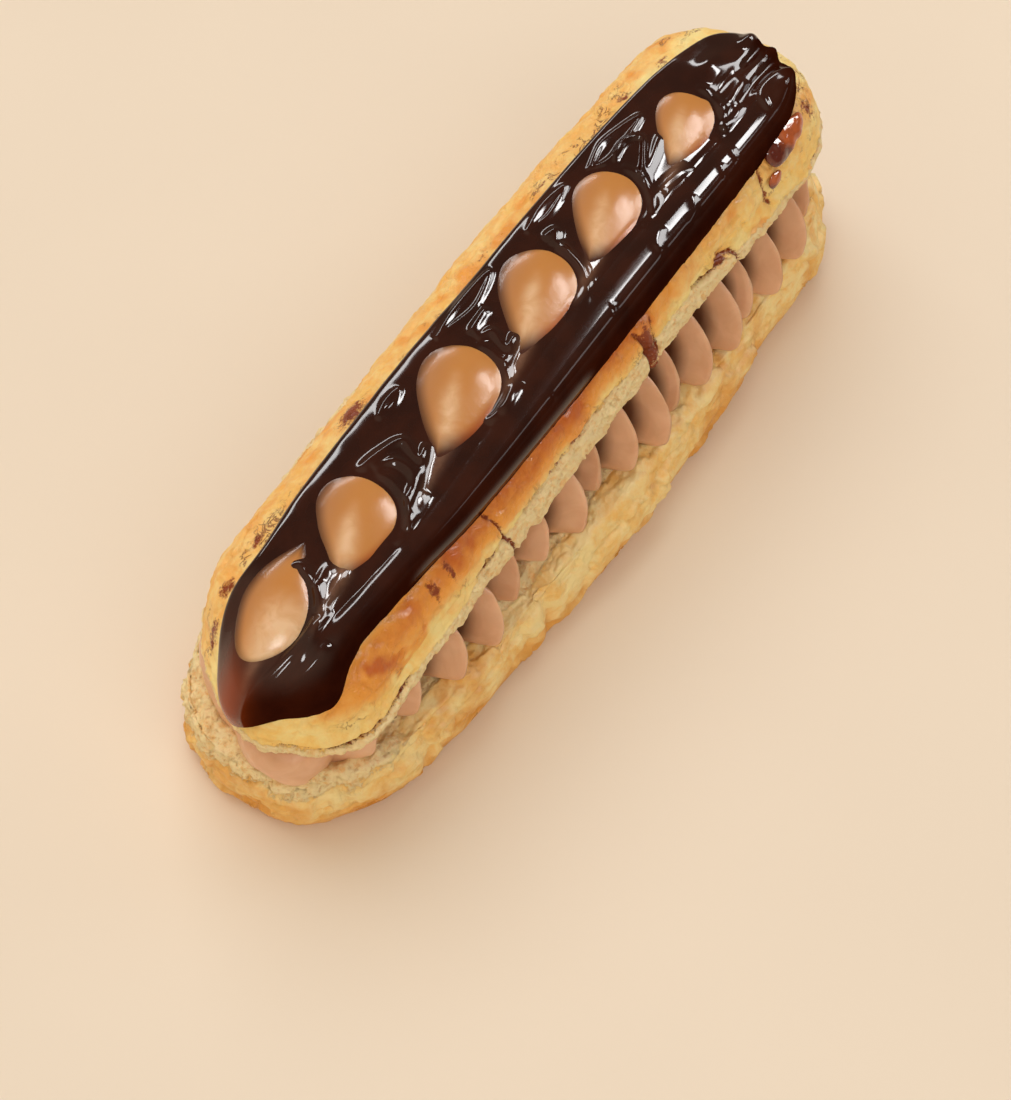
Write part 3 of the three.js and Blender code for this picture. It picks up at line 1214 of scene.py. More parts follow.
    def baked(self, p: Array, level: Array, dome: Array) -> Array:
        """How brown the crust is: most along the front shoulder, in patches, and on the scorch.

        Args:
            p: Points.
            level: Their height above the cut.
            dome: Which rings are part of the dome.

        Returns:
            0 where it is pale, up to 1 where it is brown.
        """
        x, y = p[..., 0], p[..., 1]
        fade = 0.1 + 0.9 * eased(level + 1.2 * rough(p, 7.0, 131, 2), 5.0, 11.0)
        bake = eased(-y, 8.0, 11.5) * curve(x, self.front_bake) * fade + eased(y, 8, 11) * 0.25
        ragged_near = self.near(self.scorch, x, y) + 0.8 * rough(p, 1.6, 139, 2)
        bake += 0.45 * bell(ragged_near, 0.6) * dome
        bake += 0.3 * eased(rough(p, 6.0, 137, 3), 0.1, 0.6) * eased(x, -72, -20)
        return np.clip(bake, 0, 1)

    def make(self, material: bpy.types.Material) -> bpy.types.Object:
        """Roughen the shell's crumb and crust, crack it and give it stains, paint shade into its cracks
        and pits, and mark where each lies.

        Args:
            material: Its finish.

        Returns:
            The new piece.
        """
        rings, zone = self.shell()
        skin = Skin(rings)
        p = rings.copy()
        x, y, z = (p[..., k] for k in range(3))
        flat = p * (1, 1, 0)
        face, dome = zone == Zone.CUT.value, zone == Zone.DOME.value
        level = z - self.plane(x)
        out = eased(self.share(x, y), 0.75, 0.9)
        above_crumb = level + rough(p * (1, 1, 0.2), 6.0, 79, 3) - curve(x, self.lip_crumb)
        crumb = np.maximum(1 - eased(above_crumb, -0.5, 0.5), face)
        torn, pit_shade = self.crumb.at(p)
        begin, end = self.blisters
        blister = eased(x, *begin) * (1 - eased(x, *end)) * eased(-y, *self.shoulder)
        blister = np.maximum(blister, 0.5 * eased(y, *self.shoulder))
        under = 1.2 * bell(above_crumb - 0.25, 0.3) * eased(rough(flat, 9.0, 113, 2), -0.25, 0.1)
        crack = np.max([bell(self.near(path, x, y), 0.35) for path in self.cracks], axis=0)
        crack = crack * ~face
        stain_and_crack_shade = total(self.stains, x, y) * ~face
        lift = self.crust_lift(p, blister) * (1 - crumb) + (torn + 0.25) * crumb
        lift += 0.25 * stain_and_crack_shade - 0.7 * crack - under * out
        skin.push(lift * np.where(face, 0.3, 1.0), hold=2)
        ragged = 0.8 * rough(flat, 2.2, 71, 3, 0.6) + 0.35 * rough(flat, 0.9, 73, 2)
        ragged += 0.5 * rough(flat, 1.2, 75, 2)
        wave = 1.6 * rough(flat, 22.0, 77, 2) * (1 - eased(level, 2.0, 7.0)) * out
        skin.rings[..., 2] += (1 - eased(level, 0.2, 2.2)) * out * ~dome * ragged + wave
        skin.rings[..., 0] -= self.snout(x, y)
        flaky = np.maximum.reduce([
            eased(y, 8.0, 9.5) * (1 - eased(y, 12, 14.5)),
            eased(x, 57, 60),
            eased(-x, 60, 64) * (y > 0),
            0.6 * eased(-y, 11, 13) * (1 - eased(level, 6.0, 8.0)),
        ])
        skin.marks = {
            "bake": self.baked(p, level, dome),
            "crumb": crumb,
            # painted shade in the large pits of the crumb
            "pit_shade": pit_shade * crumb,
            # Painted shade: the cracks and the groove under the crust's edge take the colour of the
            # stains, along with the real stains.
            "stain_and_crack_shade": np.clip(stain_and_crack_shade + 0.8 * crack + 0.9 * np.minimum(under, 0.8) * out, 0, 1),
            "wet": 0.8 * blister * dome * (1 - crumb),
            "flake": dome * flaky,
        }
        piece = build("lid_choux", [skin], material)
        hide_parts("lid")
        return piece


@dataclass(frozen=True)
class Lobe:
    """One fin that the star nozzle leaves: the place, reach and width of its crest."""

    x: float
    reach: float  # distance of the crest from the middle
    width: float
    foot: float  # height of its lower tip


def lobes(*rows: tuple[float, float, float, float]) -> tuple[Lobe, ...]:
    """One fin for each row of place, reach, width and foot."""
    return tuple(Lobe(*row) for row in rows)


@dataclass
class CreamRope:
    """Piped cream between base and lid: a round rope with deep upright fins on both sides."""

    half_length: float
    base: ChouxBase
    lid: ChouxLid
    short_end: float = 70.2  # the +X end, which stays under the lid
    sideways: float = -3.2  # y of the -X end's tip
    upright: float = 17.0  # height at which the fins' lean is nought
    along: int = 560
    across: int = 10
    side: int = 52
    core: float = 8.0
    belly: float = 18.0  # height at which the fins reach furthest
    crest: float = 0.14  # rounding of a fin's crest, as a share of its width
    left: float = 0.66  # a fin's left face is this many times its width
    right: float = 0.32  # and its right face this many
    lean: float = 0.28
    front: tuple[Lobe, ...] = lobes(
        (-60.6, 14.6, 5.6, 15.2), (-52.0, 16.2, 5.4, 15.5), (-43.4, 18.5, 4.9, 14.7),
        (-35.6, 19.7, 4.7, 14.3), (-28.3, 17.7, 3.9, 15.3), (-20.4, 17.7, 4.1, 15.9),
        (-12.7, 19.5, 5.3, 14.5), (-5.8, 17.5, 3.1, 16.3), (0.9, 19.9, 4.3, 14.7),
        (7.8, 21.5, 4.9, 14.1), (13.6, 19.5, 3.7, 14.7), (20.8, 20.9, 4.5, 14.3),
        (28.9, 21.3, 4.7, 14.3), (34.6, 19.7, 3.3, 15.5), (41.7, 21.3, 4.7, 14.5),
        (50, 21.5, 5.1, 14.5), (57, 19.3, 3.9, 15.3), (63.4, 15.4, 4.0, 16.0),
        (68, 11.5, 4.0, 16.4),
    )
    back: tuple[Lobe, ...] = lobes(
        (-62, 15.5, 5.5, 15.6), (-54, 17.2, 5.0, 15.0), (-46, 18.2, 5.0, 15.0),
        (-38.4, 17.4, 4.6, 15.6), (-30.6, 18.8, 5.2, 14.8), (-22.4, 17.8, 4.6, 15.4),
        (-14.8, 18.8, 5.2, 14.8), (-6.6, 18.0, 4.6, 15.6), (1.4, 19.0, 5.2, 14.8),
        (9.4, 17.8, 4.8, 15.4), (17.2, 18.8, 5.0, 14.8), (25.2, 17.4, 4.8, 15.4),
        (33.0, 18.2, 5.2, 14.8), (41.4, 17.0, 4.6, 15.6), (49.0, 16.8, 4.8, 15.2),
        (57.0, 14.8, 5.0, 15.6),
    )
    back_end: tuple[Point, ...] = (  # y of the plain back wall at the -X end, along x
        (-73.1, -3.2), (-72.6, -0.9), (-71.4, 1.4), (-69.8, 3.9),
        (-68.1, 8.6), (-64.9, 13.7), (-60.1, 16.6), (-54.0, 16.0),
    )
    front_end: tuple[Point, ...] = (  # y of the plain front wall there
        (-73.1, -3.2), (-72.6, -4.8), (-71.4, -6.4), (-69.8, -7.8),
        (-68.1, -8.9), (-66.0, -9.6), (-62.0, -9.6),
    )
    drawn_out: float = 1.6  # the -X end reaches this much past the CAD node's
    swell: float = 1.6  # how much the core bulges at half its height
    fin_rise: float = 9.8  # a fin ends this far above the belly
    end_powers: Range = (15.0, 6.0)  # how bluntly the width closes at the -X and the +X end
    height_powers: Range = (30.0, 22.0)  # and the height
    tip_x: Range = (58.0, 72.0)  # the -X end turns sideways over these distances from the middle
    front_wall_x: Range = (62.0, 64.6)  # the plain front wall takes over from the fins there,
    back_wall_x: Range = (48.0, 60.0)  # and the back wall there
    crowding: float = 0.28  # how much closer the sections lie at the ends
    window: int = 17  # the crests beside a point are looked for among this many sections
    gap_shade_depth: Range = (3.0, 6.5)  # a point this far behind them gets painted shade, as deep in a gap
    gap_shade_ends: tuple[Range, Range] = ((60.0, 63.0), (62.0, 68.0))  # the painted shade ends there at -X and +X

    @classmethod
    def from_frame(cls, base: ChouxBase, lid: ChouxLid) -> CreamRope:
        """Take the length of the CAD node."""
        low, high = box_mm("cream")
        return cls((high[0] - low[0]) / 2 + cls.drawn_out, base, lid)

    def taper(self, x: Array) -> Array:
        """The rope closes at its ends by the root of one less x to a power, bluntly at -X."""
        return (1 - np.abs(x / self.end(x)).clip(0, 1) ** np.where(x < 0, *self.end_powers)) ** 0.5

    def end(self, x: Array) -> Array:
        """Length of the half that x lies in."""
        return np.where(x < 0, self.half_length, self.short_end)

    def middle(self, x: Array) -> Array:
        """The -X end follows the lid's end to the front."""
        return self.sideways * eased(-x, *self.tip_x)

    def reach(self, x: Array, z: Array, level: Array, side: Side) -> Array:
        """How far the rope stands out from its middle.

        The core is a shallow arch. Each fin adds its depth times a wedge in x, with a rounded
        crest, times an arch in z that closes at the fin's lower tip. The fins meet in sharp
        grooves, because the largest counts.

        Args:
            x: Place along the rope.
            z: Height above the table.
            level: The same as a share from the rope's foot, 0, to its top, 1.
            side: Which side.

        Returns:
            The distance from the rope's middle.
        """
        bulge = np.sin(math.pi * np.clip(level, 0, 1)) ** 0.7
        core = self.core + self.swell * bulge
        edge = self.front_end if side is Side.FRONT else self.back_end
        round_end = side.value * (curve(x, edge) - self.middle(x)) - (1 - bulge)
        begins = self.front_wall_x if side is Side.FRONT else self.back_wall_x
        out = np.maximum(core * self.taper(x), round_end * eased(-x, *begins))
        for lobe in self.front if side is Side.FRONT else self.back:
            off = x - lobe.x - self.lean * (z - self.upright)
            run = off / np.where(off < 0, self.left * lobe.width, self.right * lobe.width)
            wedge = 1 - (np.sqrt(run**2 + self.crest**2) - self.crest)
            up = (z - self.belly) / np.where(z < self.belly, self.belly - lobe.foot + 1.6, self.fin_rise)
            arch = np.sqrt(np.maximum(1 - np.abs(up) ** np.where(z < self.belly, 3.0, 2.0), 0.0))
            limit = self.taper(np.full_like(x, lobe.x)) ** 0.35
            fin = core * self.taper(x) + (lobe.reach * limit - core) * wedge * arch
            out = np.maximum(out, np.where(wedge * arch > 0, fin, 0))
        return out

    def section(self, x: Array) -> Array:
        """Closed sections: across the foot, up the back, across the top, down the front.

        A section leans with the fins, and its height closes at the ends by the root of one less x
        to a high power.

        Args:
            x: Places along the rope.

        Returns:
            One ring of points for each place.
        """
        x = x[:, None]
        level = np.arange(self.side) / self.side
        part = np.arange(self.across) / self.across
        share = np.abs(x / self.end(x)).clip(0, 1)
        low = self.base.rim_height + 0.1
        high = self.lid.plane(x) - GAP

        def wall(side: Side, levels: Array) -> tuple[Array, Array, Array]:
            """The x, y and z of one side's points at some levels.

            Args:
                side: Which side.
                levels: Heights as shares from the foot to the top.

            Returns:
                Three arrays.
            """
            z = low + (high - low) * levels
            place = x + self.lean * (z - self.upright) * (1 - share**8)
            y = self.middle(place) + side.value * self.reach(place, z, levels, side)
            floor_z = self.base.top(place, y) + GAP
            return place, y, z + (floor_z - low) * np.clip(1 - levels * 6, 0, 1)

        front, back = wall(Side.FRONT, level), wall(Side.BACK, level)
        top_front, top_back = (wall(side, np.array([1.0])) for side in (Side.FRONT, Side.BACK))
        foot_y = front[1][:, :1] + (back[1][:, :1] - front[1][:, :1]) * part
        foot_x = front[0][:, :1] + 0 * foot_y
        foot = foot_x, foot_y, self.base.top(foot_x, foot_y) + GAP
        top_y = top_back[1] + (top_front[1] - top_back[1]) * part
        top_x = top_front[0] + 0 * top_y
        top = top_x, top_y, self.lid.cut(top_x, top_y) - GAP
        place, y, z = (
            np.concatenate([foot[k], back[k], top[k], front[k][:, ::-1]], axis=1) for k in range(3)
        )
        half_way = (low + high) / 2
        z = half_way + (z - half_way) * (1 - share ** np.where(x < 0, *self.height_powers)) ** 0.5
        return np.stack([place, y, z], axis=-1)

    def make(self, material: bpy.types.Material) -> bpy.types.Object:
        """Close the sections with a point at each end.

        Args:
            material: Its finish.

        Returns:
            The new piece.
        """
        t = np.linspace(-1, 1, self.along)[1:-1]
        x = self.end(t) * ((1 - self.crowding) * t + self.crowding * np.sin(t * math.pi / 2))
        rings = self.section(x)
        tips = []
        for end in (-self.half_length, self.short_end):
            half_way = (self.base.rim_height + self.lid.plane(end)) / 2
            tip = np.array([end, self.sideways if end < 0 else 0.0, half_way])
            tips.append(np.broadcast_to(tip, (1,) + rings.shape[1:]))
        skin = Skin(np.concatenate([tips[0], rings, tips[1]]))
        p = skin.rings.copy()
        skin.push(0.22 * rough(p, 4.5, 211, 2) + 0.06 * rough(p * (0.6, 1, 1), 1.3, 213, 2), hold=2)
        # Painted shade: points that lie well behind the nearest fin crests, deep in the gaps, are
        # darkened.
        stands = np.abs(p[..., 1] - self.middle(p[..., 0]))
        window = range(-self.window, self.window + 1)
        crest = np.max([np.roll(stands, k, axis=0) for k in window], axis=0)
        back_end, front_end = self.gap_shade_ends
        inner = (1 - eased(-p[..., 0], *back_end)) * (1 - eased(p[..., 0], *front_end))
        skin.marks = {"gap_shade": eased(crest - stands, *self.gap_shade_depth) * inner}
        piece = build("cream_rope", [skin], material)
        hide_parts("cream")
        return piece


@dataclass(frozen=True)
class Fold:
    """A thin fold of the icing: a raised line along a path on the lid."""

    points: tuple[Point, ...]
    height: float = 0.42
    width: float = 0.8
    closed: bool = False

    def lift(self, x: Array, y: Array) -> Array:
        """Height times a bell curve of the distance to the path, fading to its ends.

        Args:
            x: Points' x, a flat array.
            y: Points' y.

        Returns:
            The rise at each point.
        """
        points = self.points + self.points[:1] if self.closed else self.points
        path = smooth_path(points, 12 * len(points))
        low, high = path.min(axis=0) - 3 * self.width, path.max(axis=0) + 3 * self.width
        near_by = (x > low[0]) & (x < high[0]) & (y > low[1]) & (y < high[1])
        out = np.zeros_like(x)
        _, near, t = near_path(x[near_by], y[near_by], path)
        fade = 1.0 if self.closed else np.clip(1 - np.abs(2 * t - 1) ** 5, 0, 1)
        out[near_by] = 1.25 * self.height * fade * bell(near, self.width)
        return out


@dataclass(frozen=True)
class Drop:
    """A caramel teardrop, round at one end and drawn out to a tail at the other."""

    x: float
    y: float
    half_width: float
    length: float
    turn: float = 0.19  # direction of the round end, in radians from +X
    slim_back: float = 1.55  # how much the tail is drawn in on its own left
    slim_front: float = 0.95  # and on its right
    bow: float = 0.012  # how much the tail curves to the front

    @property
    def tail(self) -> float:
        """Distance from the middle to the tail's tip."""
        return self.length - self.half_width

    @property
    def back(self) -> float:
        """1 if the drop's own left is the eclair's back, or else -1."""
        return math.copysign(1.0, math.cos(self.turn))

    def outline(self, t: Array, side: Array) -> Array:
        """Half width at an angle: its sine times a power of the cosine of half of it.

        Args:
            t: Angle, 0 at the round end and pi at the tail.
            side: Positive on the drop's own left, negative on its right.

        Returns:
            The half width, whose largest value is half_width.
        """
        slim = np.where(side > 0, self.slim_back, self.slim_front)
        widest = 2 * np.sqrt(1 / (2 + slim)) * ((1 + slim) / (2 + slim)) ** ((1 + slim) / 2)
        return np.abs(np.sin(t)) * np.abs(np.cos(t / 2)) ** slim * self.half_width / widest


@dataclass
class Icing:
    """Chocolate icing: a bed on the crust with a thick roll along its front, folds and drops."""

    lid: ChouxLid
    centre_x: float = -3.0
    centre_y: float = -0.8
    bend: float = 1.0
    half_length: float = 65.4
    half_width: float = 11.8
    end_power: float = 2.1
    bed: float = 1.5
    roll: float = 1.5
    sink: float = 0.35  # how deep the undersides lie in what is below them
    drop_sink: float = 0.14  # how deep a drop's edge lies in the icing
    straight: int = 420
    arc: int = 130
    drop_height: float = 0.85
    drops: tuple[Drop, ...] = (
        Drop(42.2, -0.6, 5.0, 15.5),
        Drop(22.8, 0.8, 5.7, 18.0),
        Drop(5.0, 1.2, 6.0, 19.5),
        Drop(-15.6, 1.4, 6.3, 20.0),
        Drop(-41.2, 1.2, 6.2, 18.0),
        Drop(-58.7, 2.0, 5.0, 15.6, 3.5),
    )
    folds: tuple[Fold, ...] = (
        Fold(((-26.5, 7.4), (-23.6, 8.0), (-21.3, 7.6), (-23.9, 6.7)), 0.22, 0.5, True),
        Fold(((-10.9, 8.0), (-5.1, 8.7), (2.9, 8.1), (-3.3, 6.5)), 0.26, 0.5, True),
        Fold(((11.8, 7.3), (17.1, 7.9), (21.6, 7.1), (15.7, 6.3)), 0.24, 0.5, True),
        Fold(((25.8, 5.8), (31.3, 6.8), (38.5, 4.8), (28.8, 4.4)), 0.26, 0.5, True),
        Fold(((-55.3, 3.1), (-52.6, 3.5), (-52.1, 2.3), (-55.0, -0.9), (-49.5, 0.0))),
        Fold(((-56.0, 2.6), (-54.3, 1.9), (-55.9, -1.0), (-60.6, -2.9))),
        Fold(((-56.4, -2.7), (-52.7, -1.7), (-49.6, -1.0))),
        Fold(((-35.9, 4.9), (-31.5, 3.9), (-28.1, 2.3), (-29.3, -1.1), (-26.6, -0.4))),
        Fold(((-34.4, 3.3), (-31.5, 1.4), (-31.7, -1.6), (-38.8, -4.1))),
        Fold(((-26.1, -0.5), (-31.8, -2.7), (-37.4, -4.4))),
        Fold(((-8.1, 4.4), (-5.0, 4.8), (-2.5, 5.0))),
        Fold(((-8.4, 3.1), (-5.9, 2.1), (-7.0, -1.0), (-4.0, -0.7))),
        Fold(((-9.9, -2.4), (-8.3, -2.2), (-4.1, -1.0))),
        Fold(((-9.7, 0.2), (-12.4, -2.7), (-16.5, -4.6))),
        Fold(((11.6, 4.7), (13.8, 4.0), (11.5, 2.8))),
        Fold(((12.8, 2.6), (10.9, 0.2), (7.9, -2.9))),
        Fold(((28.9, 3.4), (32.6, 4.3), (35.3, 2.6), (32.8, 0.7), (27.8, -1.7)), 0.46, 0.44),
        Fold(((27.8, -1.7), (32.8, -0.9), (37.5, 0.6))),
        Fold(((-66.9, -2.7), (-62.1, -4.8), (-55.1, -4.2))),
        Fold(((-39.7, -5.3), (-36.0, -5.1), (-32.8, -4.6))),
        Fold(((-19.0, -5.3), (-15.2, -5.8), (-10.4, -5.5))),
        Fold(((24.3, -5.2), (27.7, -4.7), (35.4, -5.5))),
        Fold(((43.2, -6.2), (46.7, -6.5), (49.4, -6.2))),
        Fold(((44.8, -4.4), (48.8, -4.8), (53.5, -4.4))),
        Fold(((50.3, -9.5), (52.8, -7.2), (57.5, -7.6), (58.5, -11.1)), 0.35, 0.6),
        Fold(((-67.9, -0.9), (-66.2, -1.6), (-63.6, -2.8), (-60.5, -3.6), (-56.6, -3.4)), 0.6, 0.7),
        Fold(((-65.0, -5.2), (-62.0, -6.4), (-58.6, -6.6)), 0.45, 0.7),
        Fold(((-62.0, -4.6), (-58.0, -4.4), (-53.1, -3.0), (-49.0, -2.4)), 0.4, 0.7),
        Fold(((-44.0, -9.1), (-33.0, -10.2), (-17.0, -10.8), (-2.0, -11.1)), 0.3, 0.45),
        Fold(((41.7, -8.2), (40.6, -9.3), (40.9, -10.4)), 0.12, 0.4),
        Fold(((38.2, -8.6), (36.9, -9.6), (36.9, -10.6)), 0.09, 0.4),
        Fold(((31.0, -8.0), (29.0, -9.3), (26.8, -9.9)), 0.09, 0.5),
        Fold(((23.4, -7.2), (20.3, -8.4), (20.2, -9.6)), 0.2, 0.7),
    )
    tongue: Notch = Notch(-68.0, 2.4, 3.0, 20.0, 5.6)  # the -X end is drawn out here
    hollow: float = 0.35  # depth of the hollow behind the seam
    roll_powers: Range = (0.75, 1.15)  # how full the roll is towards the edge and the seam
    dense: float = 2.6  # the rings lie closer together over this distance from the edge
    tongue_x: Range = (60.0, 67.0)  # the -X end is drawn out over these distances from the middle
    overhang_x: Range = (60.0, 66.0)  # and hangs over these
    edge_round: float = 1.7  # distance over which the edge rounds up
    roll_round: float = 2.6  # and this much more at the roll
    bubble_size: float = 0.3
    bubble_height: float = 0.16
    front_edge: tuple[Point, ...] = (  # share of the half width, along x
        (-68, 1.3), (-64, 1.12), (-59, 0.84), (-48, 0.82), (-33, 0.92),
        (-17, 0.97), (0, 1.0), (32, 1.02), (62, 1.0),
    )
    back_edge: tuple[Point, ...] = (
        (-68, 1), (-61, 0.93), (-53, 0.9), (-45, 0.98), (-31, 1.02), (-13, 1.02), (2, 0.98), (17, 0.94),
        (34, 0.88), (45, 0.82), (54, 0.72), (62, 0.75),
    )
    seam: tuple[Point, ...] = (  # y of the crease between the front roll and the drops
        (-68, -2.6), (-62, -4.2), (-48, -5.6), (-33, -6.3), (-18, -5.8), (-2, -5.2), (14, -5.3),
        (31, -6.2), (48, -7.2), (56, -7.0), (62, -8.0),
    )
    overhang: Notch = Notch(-68.0, 2.0, 3.6, 20.0, 6.0)  # and hangs over the crust's edge
    film: Notch = Notch(-69.0, 2.0, 1.1, 5.0, 3.0)  # and is thin here
    knobs: tuple[Notch, ...] = (
        Notch(57.0, -9.3, 1.5, 3.6, 2.4),
        Notch(60.2, -1.0, 1.3, 1.6, 1.3),
        Notch(61.0, -4.8, 1.1, 1.5, 1.1),
        Notch(56.5, -5.9, -0.9, 5.0, 0.8),
        Notch(57.0, -2.9, -0.7, 3.0, 0.6),
        Notch(52.0, 1.0, 0.6, 3.0, 2.0),
        Notch(50.5, -2.2, -0.5, 3.5, 0.8),
    )
    bubbles: tuple[Point, ...] = (
        (-4.0, -11.0), (6.9, -9.1), (7.9, -8.6), (5.8, -11.2), (-14.2, -10.4),
        (-32.0, -10.9), (-51.5, -9.9), (-49.4, -10.2), (29.0, -5.0), (-9.5, -9.3),
    )

    @property
    def track(self) -> Track:
        """The outline before its edges are drawn in."""
        return Track(self.half_length, self.half_width, self.end_power)

    def middle(self, x: Array) -> Array:
        """The +X half bends to the front by a parabola."""
        return self.centre_y - self.bend * np.maximum(x / self.half_length, 0.0) ** 2

    def relief(self, x: Array, y: Array) -> Array:
        """Thickness of the even icing: the bed, the front roll, and a hollow behind the seam.

        The roll is half of an ellipse between the front edge and the seam, and softer at the seam.

        Args:
            x: Places along the eclair.
            y: Places across it.

        Returns:
            The thickness at each place.
        """
        front = self.middle(x) - self.half_width * curve(x, self.front_edge)
        seam = curve(x, self.seam)
        u = np.clip((y - front) / (seam - front), 0, 1)
        roll = arch(2 * u - 1) ** np.where(u < 0.5, *self.roll_powers)
        hollow = self.hollow * (y > seam) * eased(y - seam, 0.0, 1.4) * (1 - eased(y, 6.0, 8.5))
        return self.bed + self.roll * roll - hollow

    def thickness(self, x: Array, y: Array, inset: Array) -> Array:
        """Thickness above the crust.

        An edge that rounds up over its first millimetres, times the even icing with soft noise
        and knobs; then folds, the drops' welts, and bubbles.

        Args:
            x: Flat array.
            y: Flat array.
            inset: Distance in from the icing's edge.

        Returns:
            The thickness at each point.
        """
        seam = curve(x, self.seam)
        to_front = eased(seam - y, 0, 3)
        r = np.clip(inset / (self.edge_round + self.roll_round * to_front), 0, 1)
        edge = arch(1 - r) ** (0.5 + 0.3 * to_front)
        p = np.stack([x, y, 0 * x], axis=-1)
        swell = 0.24 * rough(p * (0.6, 1, 1), 10.0, 301, 1) + 0.05 * rough(p, 3.6, 303, 1) * (y > seam)
        end = 0.3 * eased(x, 47, 56) * rough(p, 6.0, 307, 1) + total(self.knobs, x, y)
        clear = np.ones_like(x)
        for d in self.drops:
            clear *= eased(np.hypot(x - d.x, y - d.y) / d.half_width, 0.98, 1.12)
        folds = clear * sum(f.lift(x, y) for f in self.folds)
        folds += sum(self.welt(d).lift(x, y) for d in self.drops)
        beads = sum(bell(np.hypot(x - a, y - b), self.bubble_size) for a, b in self.bubbles)
        return edge * (self.relief(x, y) + swell + end) + r * (folds + self.bubble_height * beads)

    def stretch(self, x: Array, y: Array) -> Array:
        """How far the -X end is drawn out over the crust's edge."""
        return self.tongue.at(x, y) * eased(-x, *self.tongue_x)

    def welt(self, drop: Drop) -> Fold:
        """The icing's raised edge along the front of a drop's round end.

        Args:
            drop: The drop.

        Returns:
            The edge as a fold.
        """
        radius = drop.half_width + 0.75
        turns = np.radians(np.linspace(-100, 15, 7))
        points = ((drop.x + radius * math.cos(t), drop.y + radius * math.sin(t)) for t in turns)
        return Fold(tuple(points), 0.34, 0.8)

    def veil(self, x: Array, y: Array) -> Array:
        """Where caramel is smeared thin: trails that run from each drop's tail along the seam.

        Args:
            x: Places along the eclair.
            y: Places across it.

        Returns:
            How thickly it is smeared, 0 to 1.
        """
        out = np.zeros_like(x)
        for d in self.drops:
            tail = d.tail if d.back > 0 else 5.0
            shares = ((0.72, 0.30), (1.05, 0.38), (1.5, 0.46))
            path = tuple((d.x - along * tail, d.y - across * tail) for along, across in shares)
            _, near, t = near_path(x, y, smooth_path(path, 14))
            out = np.maximum(out, bell(near, 1.0 - 0.6 * t) * (1 - t) ** 0.7)
        return 0.6 * out

    def make(self, material: bpy.types.Material) -> bpy.types.Object:
        """Carry underside, edge and top round the outline, lifted off the crust by the thickness.

        Args:
            material: Its finish.

        Returns:
            The new piece.
        """
        w = self.half_width
        under = np.linspace(0, 1, 9) * w
        edge = self.dense * np.linspace(0, 1, 15)[1:] ** 2
        inset = np.concatenate([edge, np.linspace(self.dense, w, 42)[1:]])
        offset = np.concatenate([under, w - inset])
        sx, nx, ny = self.track.stations(self.straight, self.arc)
        x = sx + offset[:, None] * nx + self.centre_x
        scale = np.where(ny < 0, curve(x, self.front_edge), curve(x, self.back_edge))
        scale = 1 + (scale - 1) * eased(np.abs(ny) + 0 * x, 0.0, 0.6)
        y = offset[:, None] * ny * scale + self.middle(x)
        lift = np.full_like(x, -self.sink)
        top = slice(len(under), None)  # the rings above the underside
        inward = np.broadcast_to(inset[:, None], x[top].shape)
        thick = self.thickness(x[top].ravel(), y[top].ravel(), inward.ravel())
        lift[top] += (self.sink + GAP) * eased(inward, 0, 1.2) + thick.reshape(inward.shape)
        skin = Skin(self.lid.on_crust(x, y, lift))
        skin.rings[..., 0] -= self.stretch(x, y)
        over = (1 - eased(w - offset, 0.0, 4.0))[:, None] * eased(-x, *self.overhang_x)
        skin.rings[..., 2] -= self.overhang.at(x, y) * over
        veil = self.veil(x.ravel(), y.ravel()).reshape(x.shape)
        flank = (1 - eased(w - offset, 1.6, 5.0))[:, None] * (ny < 0)
        rim_line = bell(w - offset[:, None] - 1.3, 0.5) * eased(x, -46, -40) * eased(-x, 0, 6)
        flank = flank * (1 - 0.9 * rim_line)
        film = self.film.at(x, y) * (1 - eased(w - offset, 2.5, 6.0))[:, None]
        skin.marks = {"veil": veil, "flank": flank, "film": np.clip(film, 0, 1)}
        piece = build("icing_glaze", [skin], material)
        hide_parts("icing")
        return piece

    def drop_skin(self, drop: Drop) -> Skin:
        """One teardrop's surface on the icing.

        Along its axis the outline runs as the cosine of an angle. The top is a low dome on the
        icing's surface, which falls to nought across the drop and along it.

        Args:
            drop: Its sizes.

        Returns:
            The surface and its marks.
        """
        around, rings = 132, 34
        t = (np.arange(around) + 0.5) / around * 2 * math.pi - math.pi
        along = (np.cos(t) + 1) * 0.5 * drop.length - drop.tail
        rim = np.sin(np.linspace(0, math.pi / 2, rings))
        reach = np.concatenate([[0, 0.4, 0.8], rim[::-1]])[:, None]
        a, h = reach * along, reach * np.sign(t) * drop.outline(t, t)
        bent = h - drop.back * drop.bow * np.minimum(a, 0) ** 2
        cos, sin = math.cos(drop.turn), math.sin(drop.turn)
        x = drop.x + a * cos - bent * sin
        y = drop.y + a * sin + bent * cos
        here = np.arccos(np.clip(2 * (a + drop.tail) / drop.length - 1, -1, 1))
        across = np.clip(h / np.maximum(drop.outline(here, h), 1e-6), -1, 1)
        length_share = np.where(a > 0, a / drop.half_width, a / drop.tail)
        dome = (arch(across) * arch(length_share)) ** 0.8
        dome[:3] = -self.sink
        lift = GAP + self.plain_thickness(x, y) + self.drop_height * dome - self.drop_sink
        skin = Skin(self.lid.on_crust(x, y, lift))
        skin.rings[..., 0] -= self.stretch(x, y)
        skin.marks = self.drop_marks(drop, a, h, reach)
        return skin

